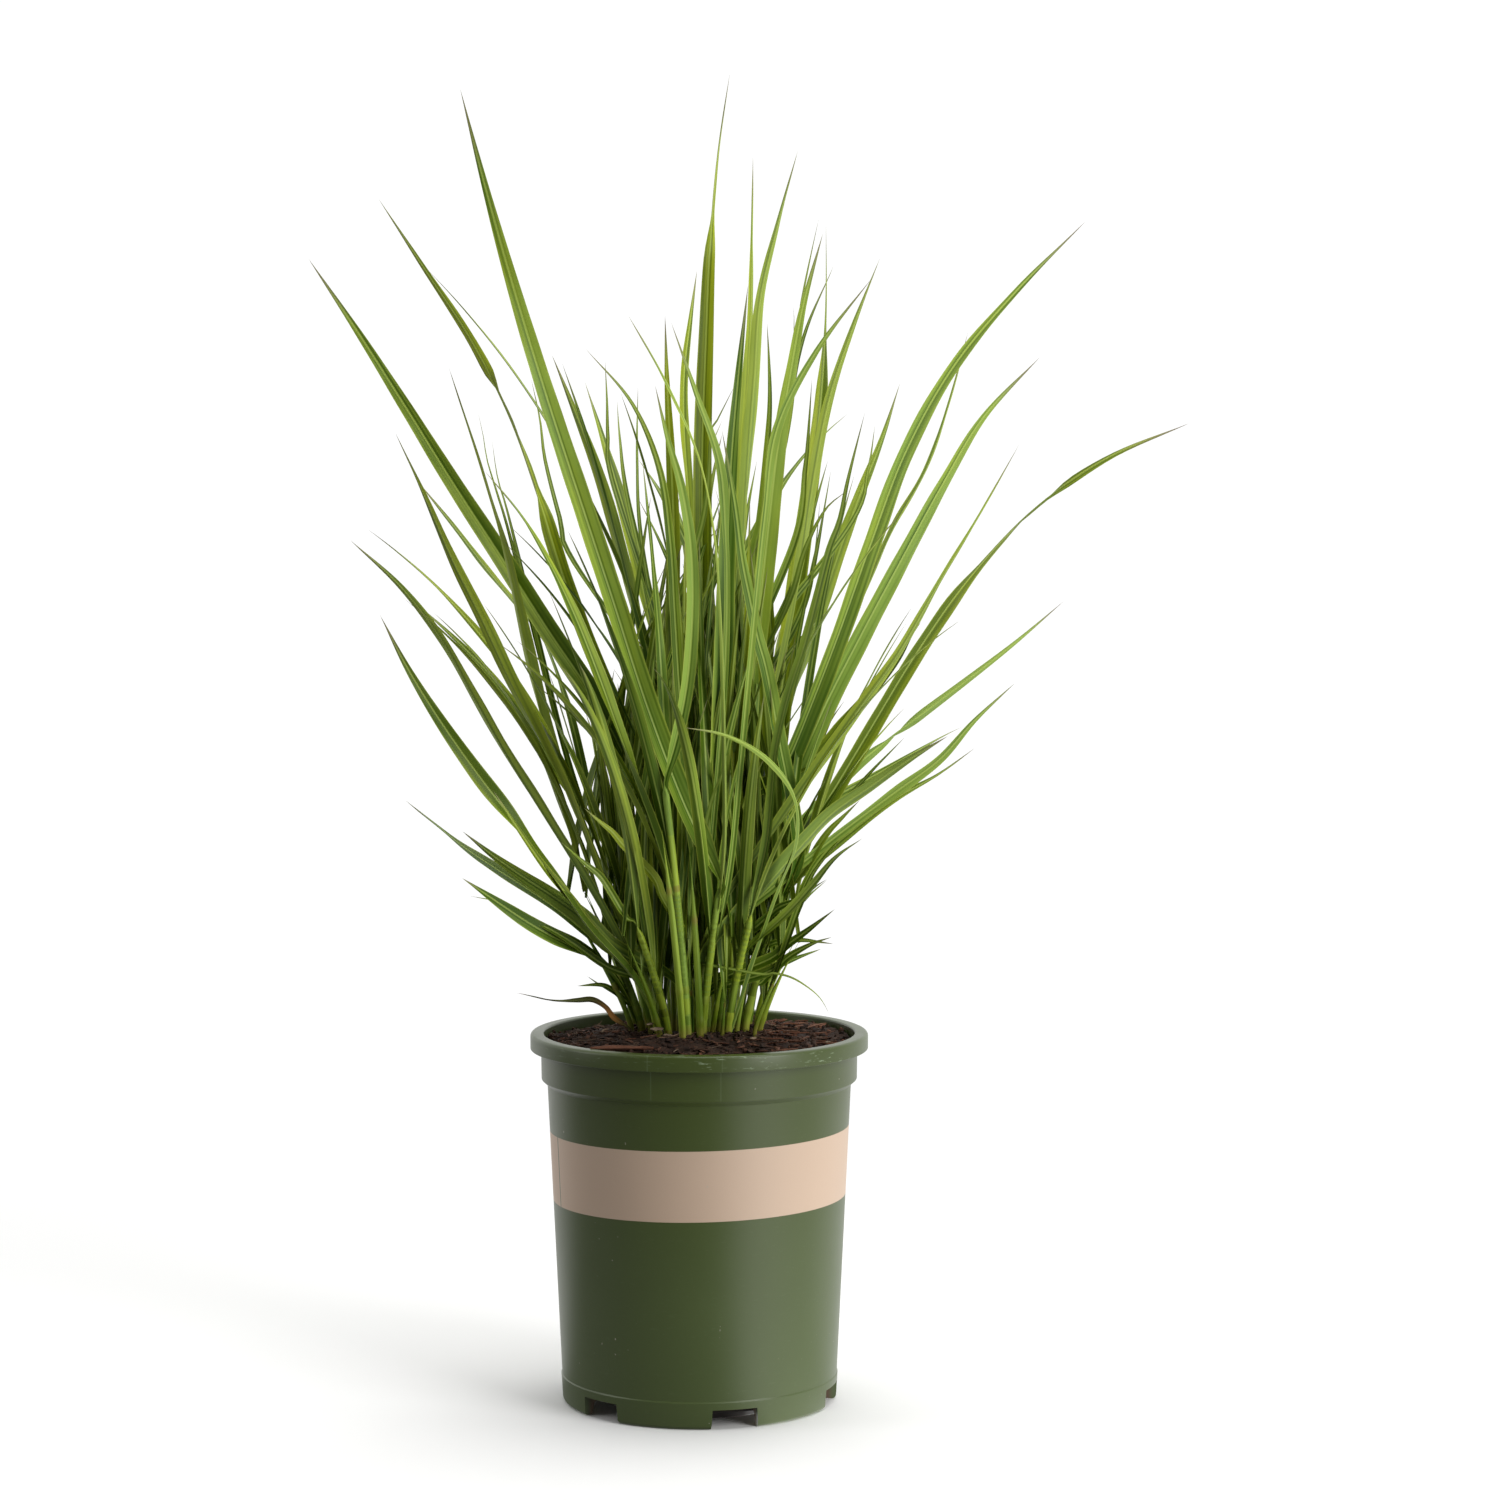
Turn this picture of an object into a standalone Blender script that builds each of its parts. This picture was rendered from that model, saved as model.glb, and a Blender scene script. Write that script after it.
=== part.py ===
"""Potted switchgrass: a green nursery pot, its soil, and a clump of stems and long blades.

Metres, +Z up. The origin is on the pot's axis, on the floor. -Y is the side that faces the viewer.
"""

import math
import random

import bmesh
import bpy
from mathutils import Vector
from mathutils.bvhtree import BVHTree

MM = 0.001

# Edges sharper than these stay sharp in the smooth shading
POT_CORNERS = math.radians(35)
STEM_CORNERS = math.radians(65)
BLADE_CORNERS = math.radians(30)

# The pot
POT_HEIGHT = 181 * MM
LIP_RADIUS = 82.5 * MM
LIP_HEIGHT = 7.8 * MM
LIP_ROUNDING = 0.9 * MM
COLLAR_RADIUS = 77.4 * MM
COLLAR_BOTTOM = 158.5 * MM
STEP_BOTTOM = 156 * MM
WALL_TOP_RADIUS = 74.2 * MM
WALL_FOOT_RADIUS = 67.5 * MM
FOOT_HEIGHT = 13.5 * MM
FOOT_RIDGE = 0.4 * MM
FOOT_RADIUS = 67.2 * MM
FOOT_ROUNDING = 2.2 * MM
FOOT_RING_WIDTH = 4.5 * MM
PLASTIC = 1.5 * MM
BASE_PANEL_RADIUS = 45 * MM
CHANNEL_HEIGHT = 6 * MM
CHANNEL_SLOPE = 3 * MM
COLLAR_DRAFT = 0.3 * MM
FOOT_RIDGE_DROP = 0.6 * MM
POT_STEPS = 48

# The drain notches: the angle of the first is from the front towards +X
NOTCH_COUNT = 6
NOTCH_ANGLE = math.radians(15.4)
NOTCH_WIDTH = 22 * MM
NOTCH_HEIGHT = 9.5 * MM
NOTCH_FLARE = 1.1
NOTCH_INNER_RADIUS = 58 * MM
NOTCH_OUTER_RADIUS = 74 * MM

# The soil
SOIL_GAP = 0.4 * MM
SOIL_EDGE = 171.5 * MM
CROWN_RADIUS = 37 * MM
CROWN_HEIGHT = 182.4 * MM
SOIL_SLOPE = ((60 * MM, 174.5 * MM), (47 * MM, 179 * MM))
SOIL_STEPS = 36

# The stems
STEM_ROOT_RADIUS = 2.2 * MM
STEM_TOP_RADIUS = 1.7 * MM
STEM_POINTS = 5
STEM_BOW = 1.25
STEM_GAP = 0.5 * MM

# The blades: how far the two halves fold up, the way their faces look, and their outline, as shares
# of the width and the length
BLADE_THICKNESS = 0.5 * MM
BLADE_FOLD = 0.3
BLADE_STATIONS = 8
FACE_UP = 0.35
FACE_TURN = 0.8
FACE_SETTLED = 0.55
WIDEST_BLADE = 11
COLLAR_WIDTH = 0.35
WIDEN_END = 0.22
TAPER_START = 0.4
TAPER_POWER = 1.8

# Where a long blade may join a stem, as shares of the stem's height, and how it leaves it
JOIN_FRACTIONS = (0.9, 0.8, 0.7, 0.6, 0.5, 0.4, 0.3, 0.2, 0.1)
JOIN_GAP = 0.75 * MM
JOIN_RUN = 14 * MM
JOIN_LEAN = 2 * MM
JOIN_OUTWARD = 0.3
LEAST_RISE = 8 * MM
USUAL_RISE = 50 * MM
JOIN_DEPTH = 1 / 3  # of its tip's depth, where a blade would best leave the clump
DEPTH_COST = 100 * MM  # this far from that depth counts as much as a bend of one radian
RISE_COST = 200 * MM
DEPTH_BOW = 1.3
DEPTH_SHIFTS = (0, 6, -6, 12, -12, 18, -18, 25, -25)
CLEARANCE = 0.45 * MM
JOIN_CLEARANCE = 0.12 * MM

# The side blades that grow on each stem: where they join it, their length, lean, reach and width
SEED = 11
SIDE_BLADES = 3
SIDE_STATIONS = 6
SIDE_TURNS = (0, 25, -25, 50, -50, 80, -80, 115, -115, 150, 180)
SIDE_LOWEST = 0.35
SIDE_SPREAD = 0.5
SIDE_SCATTER = 0.3
SIDE_SWING = 0.9
SIDE_LENGTH = (120 * MM, 215 * MM)
TOP_LENGTHEN = 1.15
LEAN_IN = (5, 12)
LEAN_OUT = (10, 20)
REACH_IN = (8, 22)
REACH_OUT = (18, 38)
REACH_DEEPER = 28
SIDE_WIDTH = (3.2 * MM, 5.2 * MM)
SIDE_STEPS = 12
SIDE_CURL = 1.2
SIDE_ROOT = 2 * MM

# The view that the blades' outlines were read from, in pixels of its picture
VIEW_DISTANCE = 1.778
VIEW_HEIGHT = 0.440
VIEW_SIDE = 0.0248
VIEW_TILT = math.radians(3.9)
VIEW_FOCAL = 3663
VIEW_CENTRE = 750

# Each stem: its root on the crown (x, y), then its top (x, y, z), in mm
STEMS = (
    ((-5, -28), (-15.5, -60, 308)),
    ((2, -21), (10.6, -44, 258)),
    ((14, -18), (25.7, -40, 244)),
    ((4, -7), (1.9, -29, 262)),
    ((-3, -15), (-6.3, -30, 231)),
    ((22.4, -8), (41.6, -20, 252)),
    ((28, 12), (47.7, 6, 243)),
    ((-14.5, -23), (-29.4, -40, 238)),
    ((-20, -13), (-45, -24, 264)),
    ((-28, -3), (-57, -7, 252)),
    ((-26, 12), (-52, 30, 272)),
    ((-14, 22), (-30, 56, 290)),
    ((2, 28), (4, 66, 280)),
    ((17, 22), (34, 54, 296)),
    ((13, 2), (19, 6, 332)),
    ((-12, 2), (-17, 6, 342)),
    ((0, 13), (1, 24, 346)),
)

# Each long blade: the depth of its tip behind the pot's axis and its width, in mm, the stem whose
# top carries it (or None, for the side of whichever stem suits it), and its line, tip first
LEAVES = (
    (-60, 10, 2,
     ((460, 88), (489, 200), (529, 340), (567, 460), (600, 560), (638, 680), (668, 765), (697, 830))),
    (-130, 5, 1,
     ((655, 385), (668, 440), (682, 490), (691, 550), (692, 620), (686, 690), (674, 745))),
    (60, 5, None,
     ((378, 198), (420, 262), (460, 325), (486, 365), (527, 460), (548, 530), (590, 650))),
    (15, 9, None,
     ((308, 258), (350, 320), (400, 398), (437, 460), (479, 520), (527, 600), (595, 700))),
    (-15, 5.5, None,
     ((395, 432), (420, 485), (448, 550), (485, 625), (515, 690), (575, 810))),
    (75, 5, None,
     ((415, 478), (445, 515), (475, 555), (505, 592), (540, 635), (595, 720))),
    (-35, 6.5, None,
     ((350, 540), (397, 583), (430, 622), (460, 672), (490, 727), (520, 778), (575, 865))),
    (25, 4.5, None,
     ((412, 600), (450, 634), (490, 675), (525, 722), (590, 825))),
    (-65, 8, None,
     ((380, 615), (400, 655), (428, 702), (460, 750), (497, 800), (535, 850), (590, 930))),
    (35, 6, None,
     ((405, 800), (440, 828), (470, 852), (510, 878), (560, 912), (605, 950))),
    (-25, 7, None,
     ((462, 831), (500, 861), (540, 888), (580, 915), (615, 950))),
    (-50, 6.5, None,
     ((462, 878), (500, 904), (540, 930), (580, 951), (598, 962))),
    (-45, 6, None,
     ((449, 368), (466, 420), (482, 470), (496, 520), (510, 570), (520, 620), (548, 740))),
    (-95, 4.5, None,
     ((484, 470), (510, 500), (540, 545), (562, 590), (585, 640), (625, 750))),
    (95, 7, None,
     ((552, 355), (575, 412), (590, 450), (605, 495), (622, 560), (650, 680))),
    (130, 7, None,
     ((585, 382), (600, 430), (615, 480), (632, 540), (645, 600), (660, 670))),
    (-115, 5, None,
     ((585, 348), (620, 388), (645, 425), (662, 480), (670, 540), (680, 700))),
    (-125, 4.5, None,
     ((628, 315), (650, 352), (676, 402), (694, 445), (710, 500), (722, 640))),
    (-95, 6.5, None,
     ((671, 322), (685, 360), (700, 405), (716, 450), (724, 500), (726, 650))),
    (120, 5, None,
     ((697, 270), (689, 330), (683, 390), (685, 450), (690, 520), (694, 600))),
    (10, 7, None,
     ((730, 72), (718, 155), (711, 220), (708, 300), (704, 380), (702, 460), (699, 650))),
    (55, 5, None,
     ((753, 155), (752, 240), (751, 310), (748, 380), (744, 450), (738, 620))),
    (-65, 8.5, None,
     ((748, 285), (743, 330), (737, 390), (732, 450), (728, 520), (725, 600), (720, 730))),
    (-20, 5.5, None,
     ((798, 150), (782, 210), (766, 265), (759, 310), (755, 370), (750, 430), (742, 580))),
    (-75, 8.5, None,
     ((823, 233), (808, 285), (797, 335), (786, 400), (776, 460), (767, 540), (752, 680))),
    (90, 6, None,
     ((826, 220), (826, 300), (824, 370), (817, 430), (809, 490), (800, 550), (783, 680))),
    (140, 4, None,
     ((834, 265), (818, 302), (803, 340), (795, 385), (783, 450), (768, 610))),
    (50, 5, None,
     ((880, 258), (864, 300), (848, 340), (834, 382), (822, 430), (812, 490), (788, 640))),
    (-125, 3.5, None,
     ((872, 278), (848, 310), (825, 340), (802, 370), (788, 398), (775, 440), (758, 580))),
    (110, 6.5, None,
     ((900, 383), (892, 410), (878, 450), (858, 500), (838, 555), (820, 610), (790, 710))),
    (-20, 10, None,
     ((1086, 221), (1045, 260), (1000, 309), (955, 364), (923, 415), (890, 490), (838, 635), (795, 745))),
    (70, 4, None,
     ((968, 332), (943, 425), (928, 465), (908, 500), (885, 545), (862, 600), (830, 675))),
    (25, 9.5, None,
     ((1040, 357), (1000, 397), (978, 425), (945, 480), (912, 540), (880, 600), (822, 712))),
    (-60, 5.5, None,
     ((1020, 443), (990, 497), (952, 560), (915, 625), (885, 675), (858, 710), (795, 800))),
    (10, 6, None,
     ((1190, 423), (1140, 444), (1080, 472), (1045, 500), (1000, 541), (960, 590), (915, 655), (815, 820))),
    (60, 4.5, None,
     ((1064, 601), (1000, 655), (940, 700), (900, 731), (855, 767), (795, 830))),
    (-35, 6, None,
     ((1015, 683), (985, 708), (955, 745), (920, 775), (880, 803), (800, 865))),
    (-70, 7.5, None,
     ((948, 736), (905, 762), (865, 790), (830, 815), (780, 870))),
    (20, 4, None,
     ((975, 748), (930, 780), (890, 802), (850, 833), (795, 880))),
    (-100, 3.5, None,
     ((681, 727), (720, 733), (760, 755), (785, 776), (799, 815), (795, 850), (775, 900))),
)

# The withered blade that lies over the left of the rim, tip first, in mm
DRY_LEAF = ((-89, -8, 201), (-68, -9, 197), (-49, -10, 197.5), (-42, -12, 190), (-34.5, -13, 184.5))
DRY_LEAF_WIDTH = 3


def clear_scene():
    for obj in list(bpy.data.objects):
        bpy.data.objects.remove(obj)


def new_collection(name):
    made = bpy.data.collections.new(name)
    bpy.context.scene.collection.children.link(made)
    return made


def new_material(name, colour, roughness):
    made = bpy.data.materials.new(name)
    made.use_nodes = True
    shader = made.node_tree.nodes["Principled BSDF"]
    shader.inputs["Base Color"].default_value = (*colour, 1)
    shader.inputs["Roughness"].default_value = roughness
    shader.inputs["Metallic"].default_value = 0
    made.diffuse_color = (*colour, 1)
    return made


def add_object(name, mesh, collection, material=None):
    obj = bpy.data.objects.new(name, mesh)
    collection.objects.link(obj)
    if material:
        mesh.materials.append(material)
    return obj


def turned(name, profile, steps, collection, material):
    """A profile of (radius, height) points turned about the Z axis."""
    mesh = bpy.data.meshes.new(name)
    points = [(radius, 0, height) for radius, height in profile]
    edges = [(i, i + 1) for i in range(len(points) - 1)]
    mesh.from_pydata(points, edges, [])
    obj = add_object(name, mesh, collection, material)
    screw = obj.modifiers.new("Turn", "SCREW")
    screw.axis = "Z"
    screw.steps = steps
    screw.render_steps = steps
    screw.use_merge_vertices = True
    screw.merge_threshold = 0.0001
    screw.use_smooth_shade = False
    return obj


def pot_inside():
    """The pot's inner profile, from the middle of its floor up to its mouth."""
    channel_top = CHANNEL_HEIGHT + PLASTIC
    return [
        (0, PLASTIC),
        (BASE_PANEL_RADIUS - PLASTIC / 2, PLASTIC),
        (BASE_PANEL_RADIUS + CHANNEL_SLOPE - PLASTIC / 2, channel_top),
        (FOOT_RADIUS - FOOT_RING_WIDTH, channel_top),
        (WALL_FOOT_RADIUS - PLASTIC, FOOT_HEIGHT),
        (WALL_TOP_RADIUS - PLASTIC, STEP_BOTTOM),
        (COLLAR_RADIUS - PLASTIC - COLLAR_DRAFT, COLLAR_BOTTOM),
        (COLLAR_RADIUS - PLASTIC, POT_HEIGHT - LIP_ROUNDING),
    ]


def pot_outside():
    """The pot's outer profile, from its mouth over the lip, down and in to the middle of its base."""
    lip_bottom = POT_HEIGHT - LIP_HEIGHT
    return [
        (COLLAR_RADIUS - PLASTIC + LIP_ROUNDING, POT_HEIGHT),
        (LIP_RADIUS - LIP_ROUNDING, POT_HEIGHT),
        (LIP_RADIUS, POT_HEIGHT - LIP_ROUNDING),
        (LIP_RADIUS, lip_bottom),
        (LIP_RADIUS - PLASTIC, lip_bottom),
        (LIP_RADIUS - PLASTIC, POT_HEIGHT - PLASTIC),
        (COLLAR_RADIUS, POT_HEIGHT - PLASTIC),
        (COLLAR_RADIUS - COLLAR_DRAFT, COLLAR_BOTTOM),
        (WALL_TOP_RADIUS, STEP_BOTTOM),
        (WALL_FOOT_RADIUS, FOOT_HEIGHT),
        (WALL_FOOT_RADIUS + FOOT_RIDGE, FOOT_HEIGHT - FOOT_RIDGE_DROP),
        (FOOT_RADIUS, FOOT_ROUNDING),
        (FOOT_RADIUS - FOOT_ROUNDING, 0),
        (FOOT_RADIUS - FOOT_RING_WIDTH, 0),
        (FOOT_RADIUS - FOOT_RING_WIDTH - PLASTIC, CHANNEL_HEIGHT),
        (BASE_PANEL_RADIUS + CHANNEL_SLOPE, CHANNEL_HEIGHT),
        (BASE_PANEL_RADIUS, 0),
        (0, 0),
    ]


def make_notch_cutter(collection):
    """Six blocks, a little wider at the floor, that cut the drain notches out of the foot."""
    bm = bmesh.new()
    length = NOTCH_OUTER_RADIUS - NOTCH_INNER_RADIUS
    middle = (NOTCH_OUTER_RADIUS + NOTCH_INNER_RADIUS) / 2
    for i in range(NOTCH_COUNT):
        angle = NOTCH_ANGLE + i * 2 * math.pi / NOTCH_COUNT
        out = Vector((math.sin(angle), -math.cos(angle), 0))
        across = Vector((math.cos(angle), math.sin(angle), 0))
        for vert in bmesh.ops.create_cube(bm, size=1)["verts"]:
            width = NOTCH_WIDTH * (NOTCH_FLARE if vert.co.z < 0 else 1)
            height = NOTCH_HEIGHT if vert.co.z > 0 else -NOTCH_HEIGHT
            vert.co = out * (middle + vert.co.y * length) - across * vert.co.x * width
            vert.co.z = height
    bmesh.ops.recalc_face_normals(bm, faces=bm.faces)
    mesh = bpy.data.meshes.new("notch_cutter")
    bm.to_mesh(mesh)
    bm.free()
    cutter = add_object("notch_cutter", mesh, collection)
    cutter.hide_render = True
    cutter.display_type = "WIRE"
    return cutter


def shade_round(obj, sharp_angle):
    """Keeps the object's finished mesh, shaded smooth but for its sharp corners."""
    graph = bpy.context.evaluated_depsgraph_get()
    mesh = bpy.data.meshes.new_from_object(obj.evaluated_get(graph))
    obj.modifiers.clear()
    obj.data = mesh
    mesh.name = obj.name
    mesh.shade_smooth()
    mesh.set_sharp_from_angle(angle=sharp_angle)


def make_pot(collection, cutters, material):
    pot = turned("pot", pot_inside() + pot_outside(), POT_STEPS, collection, material)
    cut = pot.modifiers.new("Notches", "BOOLEAN")
    cut.operation = "DIFFERENCE"
    cut.object = make_notch_cutter(cutters)
    shade_round(pot, POT_CORNERS)


def make_soil(collection, material):
    """The soil fills the pot up to its collar and rises to the flat crown that the stems stand on."""
    shell = [(max(radius - SOIL_GAP, 0), height + SOIL_GAP) for radius, height in pot_inside()[:-1]]
    edge_radius = shell[-1][0]
    surface = [(edge_radius, SOIL_EDGE), *SOIL_SLOPE, (CROWN_RADIUS, CROWN_HEIGHT), (0, CROWN_HEIGHT)]
    profile = list(reversed(shell + surface))
    soil = turned("soil", profile, SOIL_STEPS, collection, material)
    shade_round(soil, POT_CORNERS)


def sight_point(pixel, depth):
    """The point at this depth behind the pot's axis that the view shows at this pixel."""
    across = (pixel[0] - VIEW_CENTRE) / VIEW_FOCAL
    rise = (VIEW_CENTRE - pixel[1]) / VIEW_FOCAL
    cos, sin = math.cos(VIEW_TILT), math.sin(VIEW_TILT)
    ahead = cos + rise * sin
    reach = (VIEW_DISTANCE + depth) / ahead
    return Vector((VIEW_SIDE + across * reach, depth, VIEW_HEIGHT + (rise * cos - sin) * reach))


def smooth_line(points, spans=8):
    """Points along a smooth curve through all of these points."""
    padded = [points[0] * 2 - points[1], *points, points[-1] * 2 - points[-2]]
    line = []
    for p0, p1, p2, p3 in zip(padded, padded[1:], padded[2:], padded[3:]):
        for i in range(spans):
            t = i / spans
            line.append(
                0.5 * (2 * p1 + (p2 - p0) * t + (2 * p0 - 5 * p1 + 4 * p2 - p3) * t**2
                       + (3 * p1 - p0 - 3 * p2 + p3) * t**3)
            )
    return [*line, points[-1]]


def spaced(line, count):
    """(point, way ahead) at this many equal steps along the line, both ends included."""
    lengths = [0]
    for a, b in zip(line, line[1:]):
        lengths.append(lengths[-1] + (b - a).length)
    found, k = [], 0
    for i in range(count):
        goal = lengths[-1] * i / (count - 1)
        while k < len(line) - 2 and lengths[k + 1] < goal:
            k += 1
        share = (goal - lengths[k]) / (lengths[k + 1] - lengths[k])
        found.append((line[k].lerp(line[k + 1], share), (line[k + 1] - line[k]).normalized()))
    return found


def ease(t):
    t = min(max(t, 0), 1)
    return t * t * (3 - 2 * t)


def half_width(s, width):
    """A blade is narrow at its collar, widest below its middle, and drawn out to a fine tip."""
    base = COLLAR_WIDTH + (1 - COLLAR_WIDTH) * ease(s / WIDEN_END)
    tip = 1 - max(0, (s - TAPER_START) / (1 - TAPER_START)) ** TAPER_POWER
    return width / 2 * base * tip


def blade_rings(line, stations, width, base_face, main_face, keeled, extra=0):
    """The cross-sections of a blade along its line, and its tip."""
    places = spaced(line, stations + 1)
    rings = []
    for i, (point, ahead) in enumerate(places[:-1]):
        s = i / stations
        face = base_face.lerp(main_face, ease(s / FACE_SETTLED))
        face = (face - ahead * face.dot(ahead)).normalized()
        across = ahead.cross(face)
        half = half_width(s, width) + extra
        thick = min(BLADE_THICKNESS / 2, half / 3) + extra
        rise = face * half * BLADE_FOLD
        ring = [point - across * half + rise, point + across * half + rise, point - face * thick]
        if not keeled:
            ring.insert(1, point + face * thick)
        rings.append(ring)
    return rings, places[-1][0]


def loft(rings, tip):
    """A closed mesh through the rings, capped at the first and drawn to the tip."""
    bm = bmesh.new()
    loops = [[bm.verts.new(point) for point in ring] for ring in rings]
    bm.faces.new(loops[0])
    for lower, upper in zip(loops, loops[1:]):
        for i in range(len(lower)):
            bm.faces.new((lower[i - 1], lower[i], upper[i], upper[i - 1]))
    peak = bm.verts.new(tip)
    last = loops[-1]
    for i in range(len(last)):
        bm.faces.new((last[i - 1], last[i], peak))
    bmesh.ops.triangulate(bm, faces=bm.faces)
    bmesh.ops.recalc_face_normals(bm, faces=bm.faces)
    return bm


def bm_tree(bm):
    return BVHTree.FromBMesh(bm)


class Clump:
    """All that stands so far, so that each new blade can be kept clear of it."""

    def __init__(self):
        self.pieces = {}

    def add(self, name, bm):
        verts = [vert.co.copy() for vert in bm.verts]
        bm.verts.index_update()
        faces = [[vert.index for vert in face.verts] for face in bm.faces]
        self.pieces.setdefault(name, []).append((verts, faces))

    def tree(self, leave_out=None):
        verts, faces = [], []
        for name, parts in self.pieces.items():
            if name == leave_out:
                continue
            for points, polygons in parts:
                start = len(verts)
                verts.extend(points)
                faces.extend([start + k for k in polygon] for polygon in polygons)
        return BVHTree.FromPolygons(verts, faces)


class Stem:
    """A culm from its root on the crown to its top, upright at first and then leaning out."""

    def __init__(self, name, root, top):
        self.name = name
        self.root = Vector((root[0] * MM, root[1] * MM, CROWN_HEIGHT + STEM_GAP))
        self.top = Vector(top) * MM

    def at(self, t):
        lean = t**STEM_BOW
        span = self.top - self.root
        return self.root + Vector((span.x * lean, span.y * lean, span.z * t))

    def direction(self, t):
        return (self.at(t + 0.02) - self.at(t - 0.02 if t > 0.02 else 0)).normalized()

    def radius(self, t):
        return STEM_ROOT_RADIUS + (STEM_TOP_RADIUS - STEM_ROOT_RADIUS) * t

    def make(self, collection, material):
        """The culm as a tube with closed ends, made a mesh so that its side blades can be joined to it."""
        curve = bpy.data.curves.new(self.name, "CURVE")
        curve.dimensions = "3D"
        curve.bevel_depth = 1
        curve.bevel_resolution = 1
        curve.use_fill_caps = True
        spline = curve.splines.new("POLY")
        spline.points.add(STEM_POINTS - 1)
        for i, point in enumerate(spline.points):
            t = i / (STEM_POINTS - 1)
            point.co = (*self.at(t), 1)
            point.radius = self.radius(t)
        guide = bpy.data.objects.new(self.name + "_guide", curve)
        collection.objects.link(guide)
        graph = bpy.context.evaluated_depsgraph_get()
        mesh = bpy.data.meshes.new_from_object(guide.evaluated_get(graph))
        bpy.data.objects.remove(guide)
        bm = bmesh.new()
        bm.from_mesh(mesh)
        bmesh.ops.remove_doubles(bm, verts=bm.verts, dist=0.00001)
        bmesh.ops.recalc_face_normals(bm, faces=bm.faces)
        bm.to_mesh(mesh)
        mesh.name = self.name
        mesh.materials.clear()
        return add_object(self.name, mesh, collection, material), bm


def leaf_line(pixels, depth, start, run):
    """A long blade's line from its join at start, along run, and then as the view shows it to its tip."""
    seen = list(reversed(pixels))
    steps = [0]
    for a, b in zip(seen, seen[1:]):
        steps.append(steps[-1] + math.dist(a, b))
    first = sight_point(seen[0], run.y)
    lead = (first - run).length * VIEW_FOCAL / VIEW_DISTANCE
    total = steps[-1] + lead
    points = [start, run]
    for pixel, step in zip(seen, steps):
        share = ((step + lead) / total) ** DEPTH_BOW
        points.append(sight_point(pixel, run.y + (depth - run.y) * share))
    return smooth_line(points)


def facing(turn):
    """The way a blade's upper face looks, turned about the upright from the viewer's side."""
    return Vector((math.sin(turn), -math.cos(turn), FACE_UP)).normalized()


def leaf_joins(stems, carrier, pixels, depth):
    """The places where a long blade can join a stem, best first: (cost, stem, start, run, outward)."""
    low, above = pixels[-1], pixels[-2]
    joins = []
    if carrier:
        stem = stems[carrier - 1]
        ahead = stem.direction(1)
        start = stem.top + ahead * STEM_GAP
        return [(0, carrier, start, start + ahead * JOIN_RUN, -facing(0))]
    for number, stem in enumerate(stems, 1):
        for t in JOIN_FRACTIONS:
            on_stem = stem.at(t)
            goal = sight_point(low, on_stem.y)
            out = goal - on_stem
            out.z = 0
            out = (out + Vector((on_stem.x, on_stem.y, 0)) * JOIN_OUTWARD).normalized()
            ahead = stem.direction(t)
            out = (out - ahead * out.dot(ahead)).normalized()
            start = on_stem + out * (stem.radius(t) + JOIN_GAP)
            run = start + ahead * JOIN_RUN + out * JOIN_LEAN
            rise = goal - run
            if rise.z < LEAST_RISE:
                continue
            course = sight_point(above, on_stem.y) - goal
            apart = abs(on_stem.y - depth * MM * JOIN_DEPTH) / DEPTH_COST
            stretch = abs(rise.length - USUAL_RISE) / RISE_COST
            joins.append((rise.angle(course) + apart + stretch, number, start, run, out))
    return sorted(joins, key=lambda join: join[:2])


def place_leaf(name, clump, stems, leaf, turn):
    """Finds the first join and depth at which the blade is clear of all that stands, and lofts it."""
    depth, width, carrier, pixels = leaf
    tree = clump.tree()
    for _, number, start, run, out in leaf_joins(stems, carrier, pixels, depth):
        for shift in DEPTH_SHIFTS:
            line = leaf_line(pixels, (depth + shift) * MM, start, run)
            base_face = -out
            main_face = facing(turn)
            if main_face.dot(base_face) < 0:
                main_face = -main_face
            shape = (line, BLADE_STATIONS, width * MM / math.cos(turn), base_face, main_face, False)
            snug = loft(*blade_rings(*shape, extra=JOIN_CLEARANCE))
            rings, tip = blade_rings(*shape, extra=CLEARANCE)
            wide = loft(rings[1:], tip)
            blocked = bm_tree(snug).overlap(tree) or bm_tree(wide).overlap(tree)
            snug.free()
            wide.free()
            if not blocked:
                exact = loft(*blade_rings(*shape))
                clump.add(name, exact)
                return exact
    raise RuntimeError(f"{name} finds no clear place")


def side_line(stem, t, azimuth, length, lean_start, lean_end):
    """A small blade's line: out of the stem's side, leaning over more and more."""
    point = stem.at(t) - stem.direction(t) * SIDE_ROOT
    out = Vector((math.cos(azimuth), math.sin(azimuth), 0))
    line = [point]
    for i in range(SIDE_STEPS):
        lean = lean_start + (lean_end - lean_start) * ((i + 0.5) / SIDE_STEPS) ** SIDE_CURL
        point = point + (out * math.sin(lean) + Vector((0, 0, math.cos(lean)))) * (length / SIDE_STEPS)
        line.append(point)
    return line


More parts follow.
